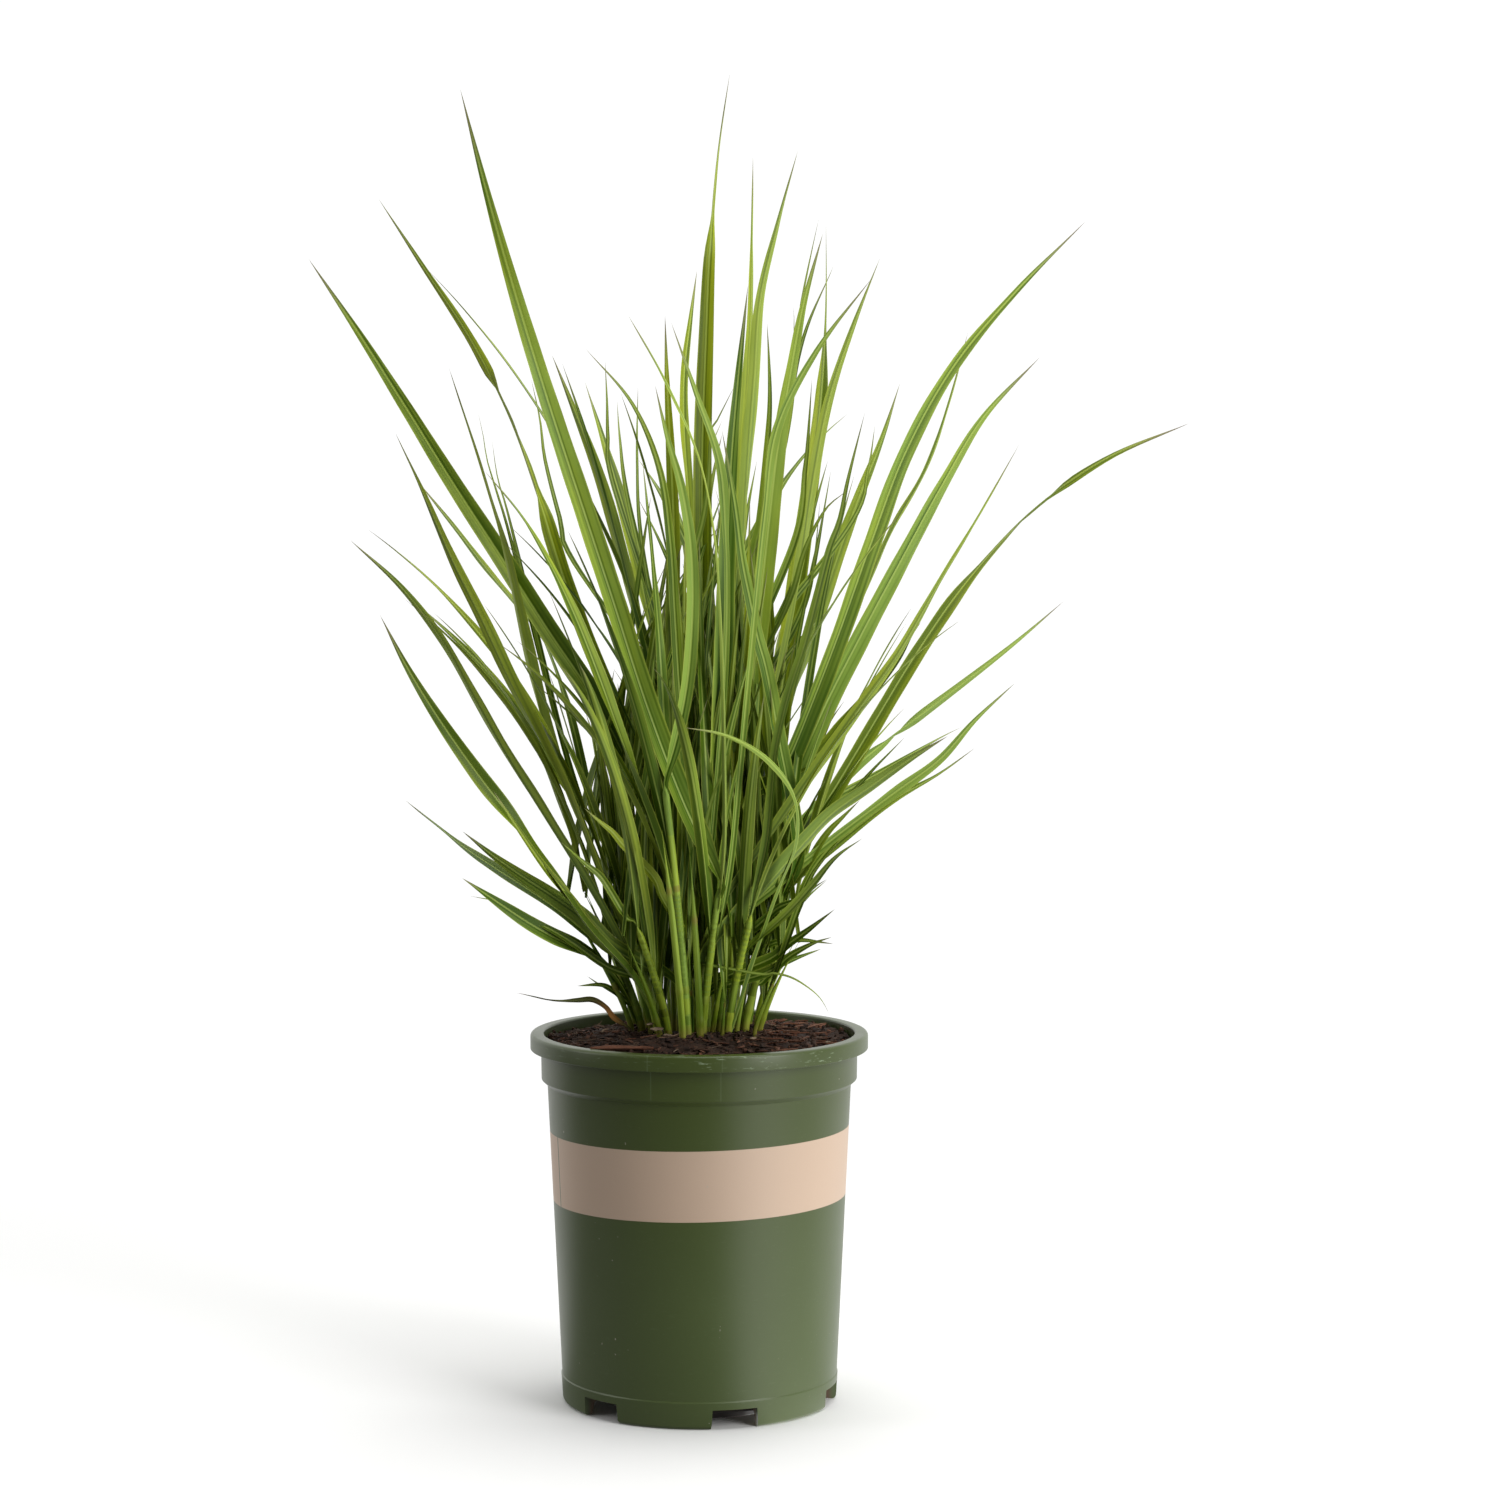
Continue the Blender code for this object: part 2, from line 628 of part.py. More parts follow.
def side_blades(stem, rng, with_top):
    """The small blades of one stem, as drawn: each (join, azimuth, length, lean, end lean, width)."""
    outward = math.atan2(stem.top.y, stem.top.x)
    drawn = []
    for k in range(SIDE_BLADES + 1):
        at_top = k == 0
        t = 1
        if not at_top:
            jitter = rng.uniform(-SIDE_SCATTER, SIDE_SCATTER)
            t = SIDE_LOWEST + SIDE_SPREAD * (k - 0.5 + jitter) / SIDE_BLADES
        azimuth = outward + (k % 2) * math.pi + rng.uniform(-SIDE_SWING, SIDE_SWING)
        sideways = abs(math.cos(azimuth))
        inward = math.cos(azimuth - outward) < 0
        length = rng.uniform(*SIDE_LENGTH) * (TOP_LENGTHEN if at_top else 1)
        lean_start = math.radians(rng.uniform(*(LEAN_IN if inward else LEAN_OUT)))
        reach = rng.uniform(*(REACH_IN if inward else REACH_OUT))
        if not inward:
            reach += REACH_DEEPER * (1 - sideways)
        width = rng.uniform(*SIDE_WIDTH)
        if with_top or not at_top:
            drawn.append((t, azimuth, length, lean_start, lean_start + math.radians(reach), width))
    return drawn


def side_shape(stem, blade, turn):
    t, azimuth, length, lean_start, lean_end, width = blade
    azimuth += math.radians(turn)
    line = side_line(stem, t, azimuth, length, lean_start, lean_end)
    upper = Vector((-math.cos(azimuth), -math.sin(azimuth), BLADE_FOLD)).normalized()
    return line, SIDE_STATIONS, width, upper, upper, True


def grow_side_blades(stem, stem_obj, clump, rng, with_top, cutters):
    tree = clump.tree(leave_out=stem.name)
    for k, blade in enumerate(side_blades(stem, rng, with_top)):
        for turn in SIDE_TURNS:
            shape = side_shape(stem, blade, turn)
            wide = loft(*blade_rings(*shape, extra=CLEARANCE))
            blocked = bm_tree(wide).overlap(tree)
            wide.free()
            if blocked:
                continue
            exact = loft(*blade_rings(*shape))
            name = f"{stem.name}_blade_{k + 1}"
            clump.add(name, exact)
            mesh = bpy.data.meshes.new(name)
            exact.to_mesh(mesh)
            exact.free()
            helper = add_object(name, mesh, cutters)
            helper.hide_render = True
            helper.display_type = "WIRE"
            join = stem_obj.modifiers.new(f"Blade {k + 1}", "BOOLEAN")
            join.operation = "UNION"
            join.object = helper
            break
    shade_round(stem_obj, STEM_CORNERS)


def add_blade(name, bm, collection, material):
    mesh = bpy.data.meshes.new(name)
    bm.to_mesh(mesh)
    bm.free()
    mesh.shade_smooth()
    mesh.set_sharp_from_angle(angle=BLADE_CORNERS)
    add_object(name, mesh, collection, material)


def make_dry_leaf(clump, collection, material):
    points = [Vector(point) * MM for point in reversed(DRY_LEAF)]
    up = Vector((0, -0.5, 1)).normalized()
    bm = loft(*blade_rings(smooth_line(points), BLADE_STATIONS, DRY_LEAF_WIDTH * MM, up, up, False))
    blocked = bm_tree(bm).overlap(clump.tree())
    if blocked:
        raise RuntimeError("dry_leaf crosses another piece")
    clump.add("dry_leaf", bm)
    add_blade("dry_leaf", bm, collection, material)


def main():
    clear_scene()
    plant = new_collection("potted_switchgrass")
    cutters = new_collection("cutters")
    plastic = new_material("pot_plastic", (0.065, 0.095, 0.035), 0.42)
    earth = new_material("soil", (0.035, 0.018, 0.009), 0.95)
    stem_green = new_material("stem_green", (0.16, 0.27, 0.035), 0.45)
    leaf_green = new_material("leaf_green", (0.11, 0.19, 0.025), 0.45)
    dry = new_material("dry_leaf", (0.12, 0.08, 0.035), 0.8)

    make_pot(plant, cutters, plastic)
    make_soil(plant, earth)

    clump = Clump()
    stems = [Stem(f"stem_{i:02d}", root, top) for i, (root, top) in enumerate(STEMS, 1)]
    stem_objects = []
    for stem in stems:
        obj, bm = stem.make(plant, stem_green)
        if clump.pieces and bm_tree(bm).overlap(clump.tree()):
            raise RuntimeError(f"{stem.name} crosses another stem")
        clump.add(stem.name, bm)
        bm.free()
        stem_objects.append(obj)
    make_dry_leaf(clump, plant, dry)
    for i, leaf in enumerate(LEAVES, 1):
        name = f"leaf_{i:02d}"
        turn = FACE_TURN * math.acos(leaf[1] / WIDEST_BLADE) * (-1) ** i
        add_blade(name, place_leaf(name, clump, stems, leaf, turn), plant, leaf_green)
    carriers = {leaf[2] for leaf in LEAVES}
    rng = random.Random(SEED)
    for i, (stem, obj) in enumerate(zip(stems, stem_objects), 1):
        grow_side_blades(stem, obj, clump, rng, i not in carriers, cutters)


main()
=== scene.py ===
import itertools
import math
import random

import bmesh
import bpy
import numpy as np
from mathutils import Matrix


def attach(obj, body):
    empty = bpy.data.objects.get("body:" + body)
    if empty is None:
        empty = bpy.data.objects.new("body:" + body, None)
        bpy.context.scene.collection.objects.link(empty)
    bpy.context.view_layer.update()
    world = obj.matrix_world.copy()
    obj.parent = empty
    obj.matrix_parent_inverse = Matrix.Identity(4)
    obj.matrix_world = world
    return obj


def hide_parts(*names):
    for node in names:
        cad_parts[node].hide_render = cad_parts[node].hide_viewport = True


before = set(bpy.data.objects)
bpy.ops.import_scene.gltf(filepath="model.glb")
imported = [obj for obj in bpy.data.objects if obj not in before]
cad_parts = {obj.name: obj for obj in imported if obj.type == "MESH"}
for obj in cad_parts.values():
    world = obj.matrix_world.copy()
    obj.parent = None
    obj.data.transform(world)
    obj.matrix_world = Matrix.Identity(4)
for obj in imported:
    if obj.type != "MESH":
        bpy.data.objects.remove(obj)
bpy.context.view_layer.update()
mm = 0.001
print("frame loaded:", len(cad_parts), "nodes")


# small helpers

def unit(vector):
    return vector / np.linalg.norm(vector)


def unitRows(rows):
    return rows / np.linalg.norm(rows, axis=1)[:, None]


def toward(angle, rise=0):
    return np.array((math.cos(angle), math.sin(angle), rise))


def ease(t):  # from 0 to 1 with a soft start and end
    t = np.clip(t, 0, 1)
    return t * t * (3 - 2 * t)


def easeThrough(stops, t):  # stops of (place, value), eased from one to the next
    at, values = np.array(stops, float).T
    k = np.clip(np.searchsorted(at, t, side="right") - 1, 0, len(at) - 2)
    return values[k] + (values[k + 1] - values[k]) * ease((t - at[k]) / (at[k + 1] - at[k]))


def draws(rng, ranges):
    return [rng.uniform(low, high) for low, high in ranges]


def newMesh(name, points, faces):
    mesh = bpy.data.meshes.new(name)
    mesh.from_pydata(points, [], faces)
    return mesh


def addObject(name, data):
    made = bpy.data.objects.new(name, data)
    bpy.context.scene.collection.objects.link(made)
    return made


def addPiece(name, mesh, nodes, corner=70):  # an edge stays sharp from this corner on, in degrees
    mesh.shade_smooth()
    mesh.set_sharp_from_angle(angle=math.radians(corner))
    piece = addObject(name, mesh)
    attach(piece, "root")
    if nodes:
        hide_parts(*nodes)


# the photograph's view: where it stands, in metres, and its focal length in pixels of 1500

view = {
    "side": 0.0248, "distance": 1.778, "height": 0.440, "tilt": 3.9,
    "focal": 3663, "pixels": 1500, "sensor": 36,
}


def addCamera():
    data = bpy.data.cameras.new("camera")
    data.sensor_width = view["sensor"]
    data.lens = view["sensor"] * view["focal"] / view["pixels"]
    camera = addObject("camera", data)
    camera.location = (view["side"], -view["distance"], view["height"])
    camera.rotation_euler = (math.radians(90 - view["tilt"]), 0, 0)
    bpy.context.scene.camera = camera


def sightPoint(pixel, depth):  # what the view shows at this pixel, this deep behind the pot's axis
    centre = view["pixels"] / 2
    across = (pixel[0] - centre) / view["focal"]
    rise = (centre - pixel[1]) / view["focal"]
    cos, sin = math.cos(math.radians(view["tilt"])), math.sin(math.radians(view["tilt"]))
    reach = (view["distance"] + depth) / (cos + rise * sin)
    return np.array((view["side"] + across * reach, depth, view["height"] + (rise * cos - sin) * reach))


# the studio: a pale floor, a bright surround and three soft boxes

studio = {
    "floor": 8,
    "floorColour": (0.86, 0.86, 0.85),
    "floorRoughness": 0.9,
    "paper": (0.35, 1.1),  # from here to here the floor turns into the backdrop
    "background": 1.05,
    "behind": 1.15,
    "front": 0.10,
    "turn": (-0.5, 0.7),  # where the surround goes from front to behind
    "bounce": (  # how bright the floor shines onto the object, by heading from the front to the right
        (-180, 0.9), (-125, 0.9), (-100, 0.24), (0, 0.21), (16, 0.22), (34, 1.35), (64, 1.35),
        (84, 0.95), (110, 1.15), (180, 0.9),
    ),
    "bounceMost": 2,
    "aim": (0, 0, 0.3),
    "boxes": (  # name, place, size, watts
        ("keyBox", (1.5, -1.3, 0.9), (1.0, 1.9), 36),
        ("sideBox", (-1.7, -0.3, 0.9), (0.6, 1.6), 7),
        ("topBox", (0.3, 0.1, 2.1), (1.5, 1.4), 26),
    ),
}


class Tap:  # a shader socket that takes part in Python sums
    def __init__(self, socket):
        self.socket = socket

    def node(self, kind, settings=None, sockets=None, out=0):
        return addNode(self.socket.id_data, kind, settings, sockets, out)

    def maths(self, operation, first, second=0.0):
        return self.node("ShaderNodeMath", {"operation": operation}, {0: first, 1: second})

    def __add__(self, other):
        return self.maths("ADD", self, other)

    def __radd__(self, other):
        return self.maths("ADD", other, self)

    def __sub__(self, other):
        return self.maths("SUBTRACT", self, other)

    def __rsub__(self, other):
        return self.maths("SUBTRACT", other, self)

    def __mul__(self, other):
        return self.maths("MULTIPLY", self, other)

    def __rmul__(self, other):
        return self.maths("MULTIPLY", other, self)

    def __truediv__(self, other):
        return self.maths("DIVIDE", self, other)

    def __pow__(self, other):
        return self.maths("POWER", self, other)

    def __abs__(self):
        return self.maths("ABSOLUTE", self)

    def sine(self):
        return self.maths("SINE", self)

    def above(self, low, high):  # 0 under low, 1 over high, smooth between
        return self.node("ShaderNodeMapRange", {"interpolation_type": "SMOOTHSTEP"},
                         {"Value": self, "From Min": low, "From Max": high})

    def past(self, edge, soft):
        return self.above(edge - soft, edge + soft)

    def parts(self):
        return [self.node("ShaderNodeSeparateXYZ", None, {0: self}, k) for k in range(3)]

    def vector(self, y, z):  # this as x, with a y and a z
        return self.node("ShaderNodeCombineXYZ", None, {0: self, 1: y, 2: z})

    def times(self, scale):  # a vector or colour times another
        return self.node("ShaderNodeVectorMath", {"operation": "MULTIPLY"}, {0: self, 1: scale})

    def noise(self, scale, detail=2.0, roughness=0.5):
        return self.node("ShaderNodeTexNoise", None,
                         {"Vector": self, "Scale": scale, "Detail": detail, "Roughness": roughness})

    def ramp(self, stops):  # colours along 0 to 1
        made = self.node("ShaderNodeValToRGB", None, {0: self})
        points = made.socket.node.color_ramp.elements
        while len(points) < len(stops):
            points.new(1.0)
        for point, (place, colour) in zip(points, stops):
            point.position, point.color = place, (*colour, 1)
        return made

    def between(self, first, second):  # this share of the way from one colour to another
        return self.node("ShaderNodeMix", {"data_type": "RGBA"}, {0: self, 6: first, 7: second}, 2)

    def to(self, colour, share):
        return share.between(self, colour)


def addNode(tree, kind, settings=None, sockets=None, out=0):
    node = tree.nodes.new(kind)
    for name, value in (settings or {}).items():
        setattr(node, name, value)
    for name, value in (sockets or {}).items():
        if isinstance(value, Tap):
            tree.links.new(value.socket, node.inputs[name])
        elif isinstance(value, tuple) and node.inputs[name].type == "RGBA":
            node.inputs[name].default_value = (*value, 1)
        else:
            node.inputs[name].default_value = value
    return Tap(node.outputs[out])


def attribute(tree, name):
    return addNode(tree, "ShaderNodeAttribute", {"attribute_name": name}, None, 1).parts()


def objectPlace(tree):
    return addNode(tree, "ShaderNodeTexCoord", None, None, 3)


def roundAxis(x, y):  # distance from the pot's axis, and the heading from the front to the right
    return (x * x + y * y) ** 0.5, x.maths("ARCTAN2", x, 0 - y)


def shining(tree, kind, strength, colour=(1, 1, 1)):
    return addNode(tree, kind, None, {"Color": colour, "Strength": strength})


def litAndSeen(tree, lit, seen):  # what lights the object, and what the camera sees in its place
    straight = addNode(tree, "ShaderNodeLightPath", None, None, 0)
    return addNode(tree, "ShaderNodeMixShader", None, {0: straight, 1: lit, 2: seen})


def surface(tree, colour, rough, height, strength, depth, specular):
    bumped = addNode(tree, "ShaderNodeBump", None,
                     {"Strength": strength, "Distance": depth, "Height": height})
    return addNode(tree, "ShaderNodeBsdfPrincipled", None,
                   {"Base Color": colour, "Roughness": rough, "Normal": bumped,
                    "Specular IOR Level": specular})


def fillTree(owner, kind, build):
    owner.use_nodes = True
    tree = owner.node_tree
    tree.nodes.clear()
    last = build(tree)
    output = tree.nodes.new(kind)
    tree.links.new(last.socket, output.inputs["Surface"])


def newMaterial(name, build):
    made = bpy.data.materials.new(name)
    fillTree(made, "ShaderNodeOutputMaterial", build)
    return made


def surround(tree):
    way = addNode(tree, "ShaderNodeTexCoord", None, None, 0).parts()
    strength = studio["front"] + (studio["behind"] - studio["front"]) * way[1].above(*studio["turn"])
    return litAndSeen(tree, shining(tree, "ShaderNodeBackground", strength),
                      shining(tree, "ShaderNodeBackground", studio["background"]))


def floorPaint(tree):  # pale paper near the pot, and the bright backdrop further off
    x, y, _ = objectPlace(tree).parts()
    radius, heading = roundAxis(x, y)
    paper = addNode(tree, "ShaderNodeBsdfPrincipled", None,
                    {"Base Color": studio["floorColour"], "Roughness": studio["floorRoughness"]})
    glow = shining(tree, "ShaderNodeEmission", studio["background"])
    seen = addNode(tree, "ShaderNodeMixShader", None, {0: radius.above(*studio["paper"]), 1: paper, 2: glow})
    most = studio["bounceMost"]
    stops = [(angle / 360 + 0.5, (light / most,) * 3) for angle, light in studio["bounce"]]
    cards = shining(tree, "ShaderNodeEmission", most, (heading * (0.5 / math.pi) + 0.5).ramp(stops))
    return litAndSeen(tree, cards, seen)


def addStudio():
    scene = bpy.context.scene
    scene.view_settings.view_transform = "Standard"
    scene.world = bpy.data.worlds.new("studio")
    fillTree(scene.world, "ShaderNodeOutputWorld", surround)
    for name, place, size, watts in studio["boxes"]:
        light = bpy.data.lights.new(name, "AREA")
        light.shape = "RECTANGLE"
        light.size, light.size_y = size
        light.energy = watts
        box = addObject(name, light)
        box.location = place
        aim = np.array(studio["aim"]) - np.array(place)
        level = math.hypot(aim[0], aim[1])
        box.rotation_euler = (math.atan2(level, -aim[2]), 0, math.atan2(-aim[0], aim[1]))
    half = studio["floor"] / 2
    corners = [(-half, -half, 0), (half, -half, 0), (half, half, 0), (-half, half, 0)]
    floor = addObject("floor", newMesh("floor", corners, [(0, 1, 2, 3)]))
    floor.data.materials.append(newMaterial("floorPaint", floorPaint))
    floor.data.materials[0].cycles.emission_sampling = "NONE"  # so wide a light is less grainy without


# the skin of blades and culms: colours are linear, sizes in millimetres

# partly painted light: the bright, warm colours also stand in for the glow of light shining through the
# blades, and the blue of the cool ones for a sheen
bladeSkin = {
    "cool": (0.235, 0.360, 0.052),
    "warm": (0.335, 0.400, 0.008),
    "under": (0.300, 0.395, 0.130),
    "coolDeep": (0.048, 0.110, 0.002),
    "warmDeep": (0.095, 0.142, 0.001),
    "midrib": (0.430, 0.540, 0.110),
    "margin": (0.380, 0.450, 0.060),
    "marginShare": 0.6,
    "tip": (0.180, 0.130, 0.100),
    "straw": (0.400, 0.300, 0.060),
    "veinPitch": 1.4,
    "roughness": 0.50,
}

culmSkin = {
    "cool": (0.245, 0.380, 0.060),
    "warm": (0.370, 0.470, 0.035),
    "under": (0.310, 0.400, 0.170),
    "coolDeep": (0.065, 0.135, 0.008),
    "warmDeep": (0.115, 0.165, 0.005),
    "midrib": (0.240, 0.370, 0.080),
    "margin": (0.440, 0.520, 0.200),
    "marginShare": 0.9,
    "tip": (0.260, 0.330, 0.110),
    "straw": (0.230, 0.145, 0.035),
    "veinPitch": 0.9,
    "roughness": 0.38,
}

grassPlan = {
    "lane": 0.008,  # how fast the streaks change along a blade, beside across it
    "laneNoise": (0.55, 1.2, 0.5),
    "streakGain": 1.9,
    "patch": (0.15, 0.02),  # the same for the patches: across and along
    "seeds": (31, 57, 91),  # what sets one blade's noise apart from the next one's
    # in the shares, lean paints one half of a folded blade lighter, groove paints shade beside the midrib and
    # foot paints shade towards a blade's foot
    "shares": {
        "streaks": 1, "veins": 0.05, "patches": 0.4, "under": 0.12, "lean": 0.35, "groove": 0.25,
        "foot": 0.42,
    },
    "footShadeEnd": 0.45,
    "bump": (0.12, 0.08 * mm),
    "specular": 0.26,
}


def grassSkin(skin):
    plan, part = grassPlan, grassPlan["shares"]

    def build(tree):
        across, along, share = attribute(tree, "where")
        warmth, light, age = attribute(tree, "look")
        rim, under, ring = attribute(tree, "rim")
        first, second, third = plan["seeds"]
        own = warmth * first + light * second
        streaks = across.vector(along * plan["lane"], own).noise(*plan["laneNoise"])
        streaks = (streaks - 0.5) * plan["streakGain"] + 0.5
        aside, on = plan["patch"]
        patches = (across * aside).vector(along * on, light * third).noise(1.0, 2.0)
        veins = (across * (2 * math.pi / skin["veinPitch"])).sine()
        tone = (warmth + (patches - 0.5) * 0.9).above(0.0, 1.0)
        # painted shade beside the midrib
        groove = 1 - abs(abs(across) - 0.8).above(0.1, 0.4)  # on both sides of the midrib
        # painted light and shade: one half of the folded blade lighter, the other darker
        lean = (across.above(-0.8, 0.8) - 0.5) * own.sine()  # one half of a blade is lighter
        # painted shade: a blade darkens towards its foot, deep in the clump
        foot = 1 - share.above(0.0, plan["footShadeEnd"])
        level = (light + (streaks - 0.5) * part["streaks"] + veins * part["veins"]
                 + (patches - 0.5) * part["patches"] + under * part["under"] + lean * part["lean"]
                 - groove * part["groove"] - foot * part["foot"])
        # the deep colours are the shaded end of this mix: the level carries the painted light and shade above
        # besides random tone
        deep = tone.between(skin["coolDeep"], skin["warmDeep"])
        colour = deep.to(tone.between(skin["cool"], skin["warm"]), level.above(-0.12, 1.0))
        colour = colour.to(skin["under"], under * light.above(0.1, 0.9) * 0.35)
        colour = colour.to(skin["midrib"], (1 - abs(across).above(0.25, 0.5)) * (0.5 - under * 0.1))
        colour = colour.to(skin["margin"], abs(rim).above(0.84, 0.96) * skin["marginShare"])
        old = ((patches + streaks * 0.6 + share * 0.5) * 0.55 + age - 0.9).above(0.0, 0.35)
        colour = colour.to(skin["straw"], old * 0.75)
        colour = colour.to(skin["tip"], share.above(0.88, 1.0) * (0.4 + streaks * 0.7))
        colour = colour.to(skin["straw"], ring)
        rough = skin["roughness"] + (streaks - 0.5) * 0.16 + under * 0.1
        return surface(tree, colour, rough, streaks, *plan["bump"], plan["specular"])
    return build


# meshes of blades and tubes, gathered for one piece

class Growth:
    def __init__(self):
        self.points, self.faces, self.skins = [], [], []
        self.where, self.look, self.rim = [], [], []
        self.count = 0

    def add(self, points, faces, where, look, rim, skin):
        self.faces += [tuple(k + self.count for k in face) for face in faces]
        self.skins += [skin] * len(faces)
        self.points.append(points)
        self.where.append(where)
        self.look.append(np.broadcast_to(np.array(look, float), (len(points), 3)))
        self.rim.append(rim)
        self.count += len(points)

    def piece(self, name, slot, nodes, materials):
        mesh = newMesh(name, np.vstack(self.points).tolist(), self.faces)
        for kind in ("where", "look", "rim"):
            values = np.vstack(getattr(self, kind)).astype(np.float32)
            made = mesh.attributes.new(kind, "FLOAT_VECTOR", "POINT")
            made.data.foreach_set("vector", values.ravel())
        for material in materials:
            mesh.materials.append(material)
        mesh.polygons.foreach_set("material_index", self.skins)
        addPiece(name, mesh, nodes)


def curveThrough(points, count, spans=16):  # even steps along a smooth curve through all the points
    pts = np.array(points, float)
    padded = np.vstack([2 * pts[0] - pts[1], pts, 2 * pts[-1] - pts[-2]])
    t = np.linspace(0, 1, spans, endpoint=False)[:, None]
    fine = [
        0.5 * (2 * b + (c - a) * t + (2 * a - 5 * b + 4 * c - d) * t**2 + (3 * b - a - 3 * c + d) * t**3)
        for a, b, c, d in zip(padded, padded[1:], padded[2:], padded[3:])
    ]
    fine = np.vstack([*fine, pts[-1:]])
    lengths = np.concatenate([[0], np.cumsum(np.linalg.norm(np.diff(fine, axis=0), axis=1))])
    steps = np.linspace(0, lengths[-1], count)
    places = np.stack([np.interp(steps, lengths, fine[:, k]) for k in range(3)], 1)
    return places, steps, lengths[::spans]


def ringFaces(rings, size):
    quads = []
    for i in range(rings - 1):
        low, high = i * size, (i + 1) * size
        quads += [(low + j, low + (j + 1) % size, high + (j + 1) % size, high + j) for j in range(size)]
    return quads


# a blade: shares of its width and length, angles in degrees, sizes in metres

bladePlan = {
    "fine": (-1, -0.74, -0.45, -0.18, 0, 0.18, 0.45, 0.74, 1),
    "plain": (-1, -0.5, 0, 0.5, 1),
    "collarWidth": 0.42,
    "widenEnd": 0.22,  # and no longer than this
    "widenMost": 30 * mm,
    "taperStart": 0.4,
    "taperPower": 1.75,
    "twistRate": (0.6, 1.1),
    "twistStart": 0.25,
    "claspFold": 62,
    "claspEnd": 0.64,  # of the way to the full width
    "fold": 31,
    "tipFold": 9,
    "opens": (0.2, 0.6),  # where the fold starts to open, and over how much of the length
    "valley": 0.004,  # how round the fold is
    "thickness": 0.28 * mm,
    "thinEdge": 0.8,
    "keel": (0.30 * mm, 0.35 * mm),  # how deep and how wide the midrib is under the blade
    "ripple": 0.22 * mm,
    "rippleRate": (120, 190),  # radians per metre
    "rippleWidth": 3 * mm,  # half of a blade's width where the ripple is whole
    "rippleStart": 0.3,
}


def halfWidths(share, width, widenEnd):
    plan = bladePlan
    base = plan["collarWidth"] + (1 - plan["collarWidth"]) * ease(share / widenEnd)
    run = np.clip((share - plan["taperStart"]) / (1 - plan["taperStart"]), 0, 1)
    return width / 2 * base * (1 - run ** plan["taperPower"])


def growBlade(growth, controls, faces, width, look, rng, stations=64, section="fine", lead=0,
              turns=None, widths=None, twist=0.35, skin=0, marks=0):
    plan = bladePlan
    places, steps, knots = curveThrough(controls, stations + 1)
    total = steps[-1]
    share = np.clip((steps - lead) / (total - lead), 0, 1)
    ahead = unitRows(np.gradient(places, axis=0))
    face = np.stack([np.interp(steps, knots, np.array(faces)[:, k]) for k in range(3)], 1)
    turn = twist * np.sin(2 * np.pi * (share * rng.uniform(*plan["twistRate"]) + rng.random()))
    turn = turn * ease(share / plan["twistStart"])
    if turns:  # from the front, where they are given
        face, turn = np.array((0, -1, 0)), np.radians(easeThrough(turns, share))
    face = unitRows(face - ahead * (face * ahead).sum(1)[:, None])
    side = np.cross(ahead, face)
    cos, sin = np.cos(turn)[:, None], np.sin(turn)[:, None]
    face, side = face * cos + side * sin, side * cos - face * sin

    widenEnd = min(plan["widenEnd"], plan["widenMost"] / total)
    half = halfWidths(share, width, widenEnd) * (easeThrough(widths, share) if widths else 1)
    start, run = plan["opens"]
    opened, loosened = ease((share - start) / run), ease(share / (plan["claspEnd"] * widenEnd))
    fold = plan["tipFold"] + (plan["fold"] - plan["tipFold"]) * (1 - opened)
    fold = np.radians(fold + (plan["claspFold"] - plan["fold"]) * (1 - loosened))
    u = np.array(plan[section])
    lift = np.sqrt(u**2 + plan["valley"]) - math.sqrt(plan["valley"])
    wave = np.sin(steps[:, None] * rng.uniform(*plan["rippleRate"]) + u * 2 + rng.uniform(0, 6))
    wave = wave * plan["ripple"] * u**2 * np.minimum(half / plan["rippleWidth"], 1)[:, None]
    wave = wave * ease(share / plan["rippleStart"])[:, None]
    closed = np.maximum(np.cos(fold), math.cos(math.radians(plan["fold"])))  # only the clasp is drawn in
    out = half[:, None] * u * (np.cos(fold) / closed)[:, None]
    up = half[:, None] * lift * (np.sin(fold) / closed)[:, None] + wave
    thin = np.minimum(plan["thickness"], half * 0.5)[:, None] * (1 - plan["thinEdge"] * np.abs(u) ** 3)
    deep, wide = plan["keel"]
    keel = np.minimum(deep, half * 0.4)[:, None] * np.exp(-(u * half[:, None] / wide) ** 2)
    rows = [places + side * out[:, [k]] + face * (up + thin / 2)[:, [k]] for k in range(len(u))]
    below = range(len(u) - 2, 0, -1)
    rows += [places + side * out[:, [k]] + face * (up - thin / 2 - keel)[:, [k]] for k in below]
    order = list(range(len(u))) + list(below)
    size = len(order)
    points = np.vstack([np.stack(rows, 1)[:-1].reshape(-1, 3), places[-1:]])
    quads = ringFaces(stations, size)
    last = (stations - 1) * size
    tip = [(last + j, last + (j + 1) % size, stations * size) for j in range(size)]
    cap = [tuple(range(size - 1, -1, -1))]
    uRow = u[order]
    under = np.array([0.0] * len(u) + [1.0] * (size - len(u)))
    along = np.repeat(steps[:-1] / mm, size)
    where = np.stack([(half[:-1, None] * uRow / mm).ravel(), along, np.repeat(share[:-1], size)], 1)
    where = np.vstack([where, [0, total / mm, 1]])
    rings = np.repeat(np.broadcast_to(marks, (stations,)), size)
    rim = np.stack([np.tile(uRow, stations), np.tile(under, stations), rings], 1)
    rim = np.vstack([rim, [0, 0, 0]])
    growth.add(points, quads + tip + cap, where, look, rim, skin)


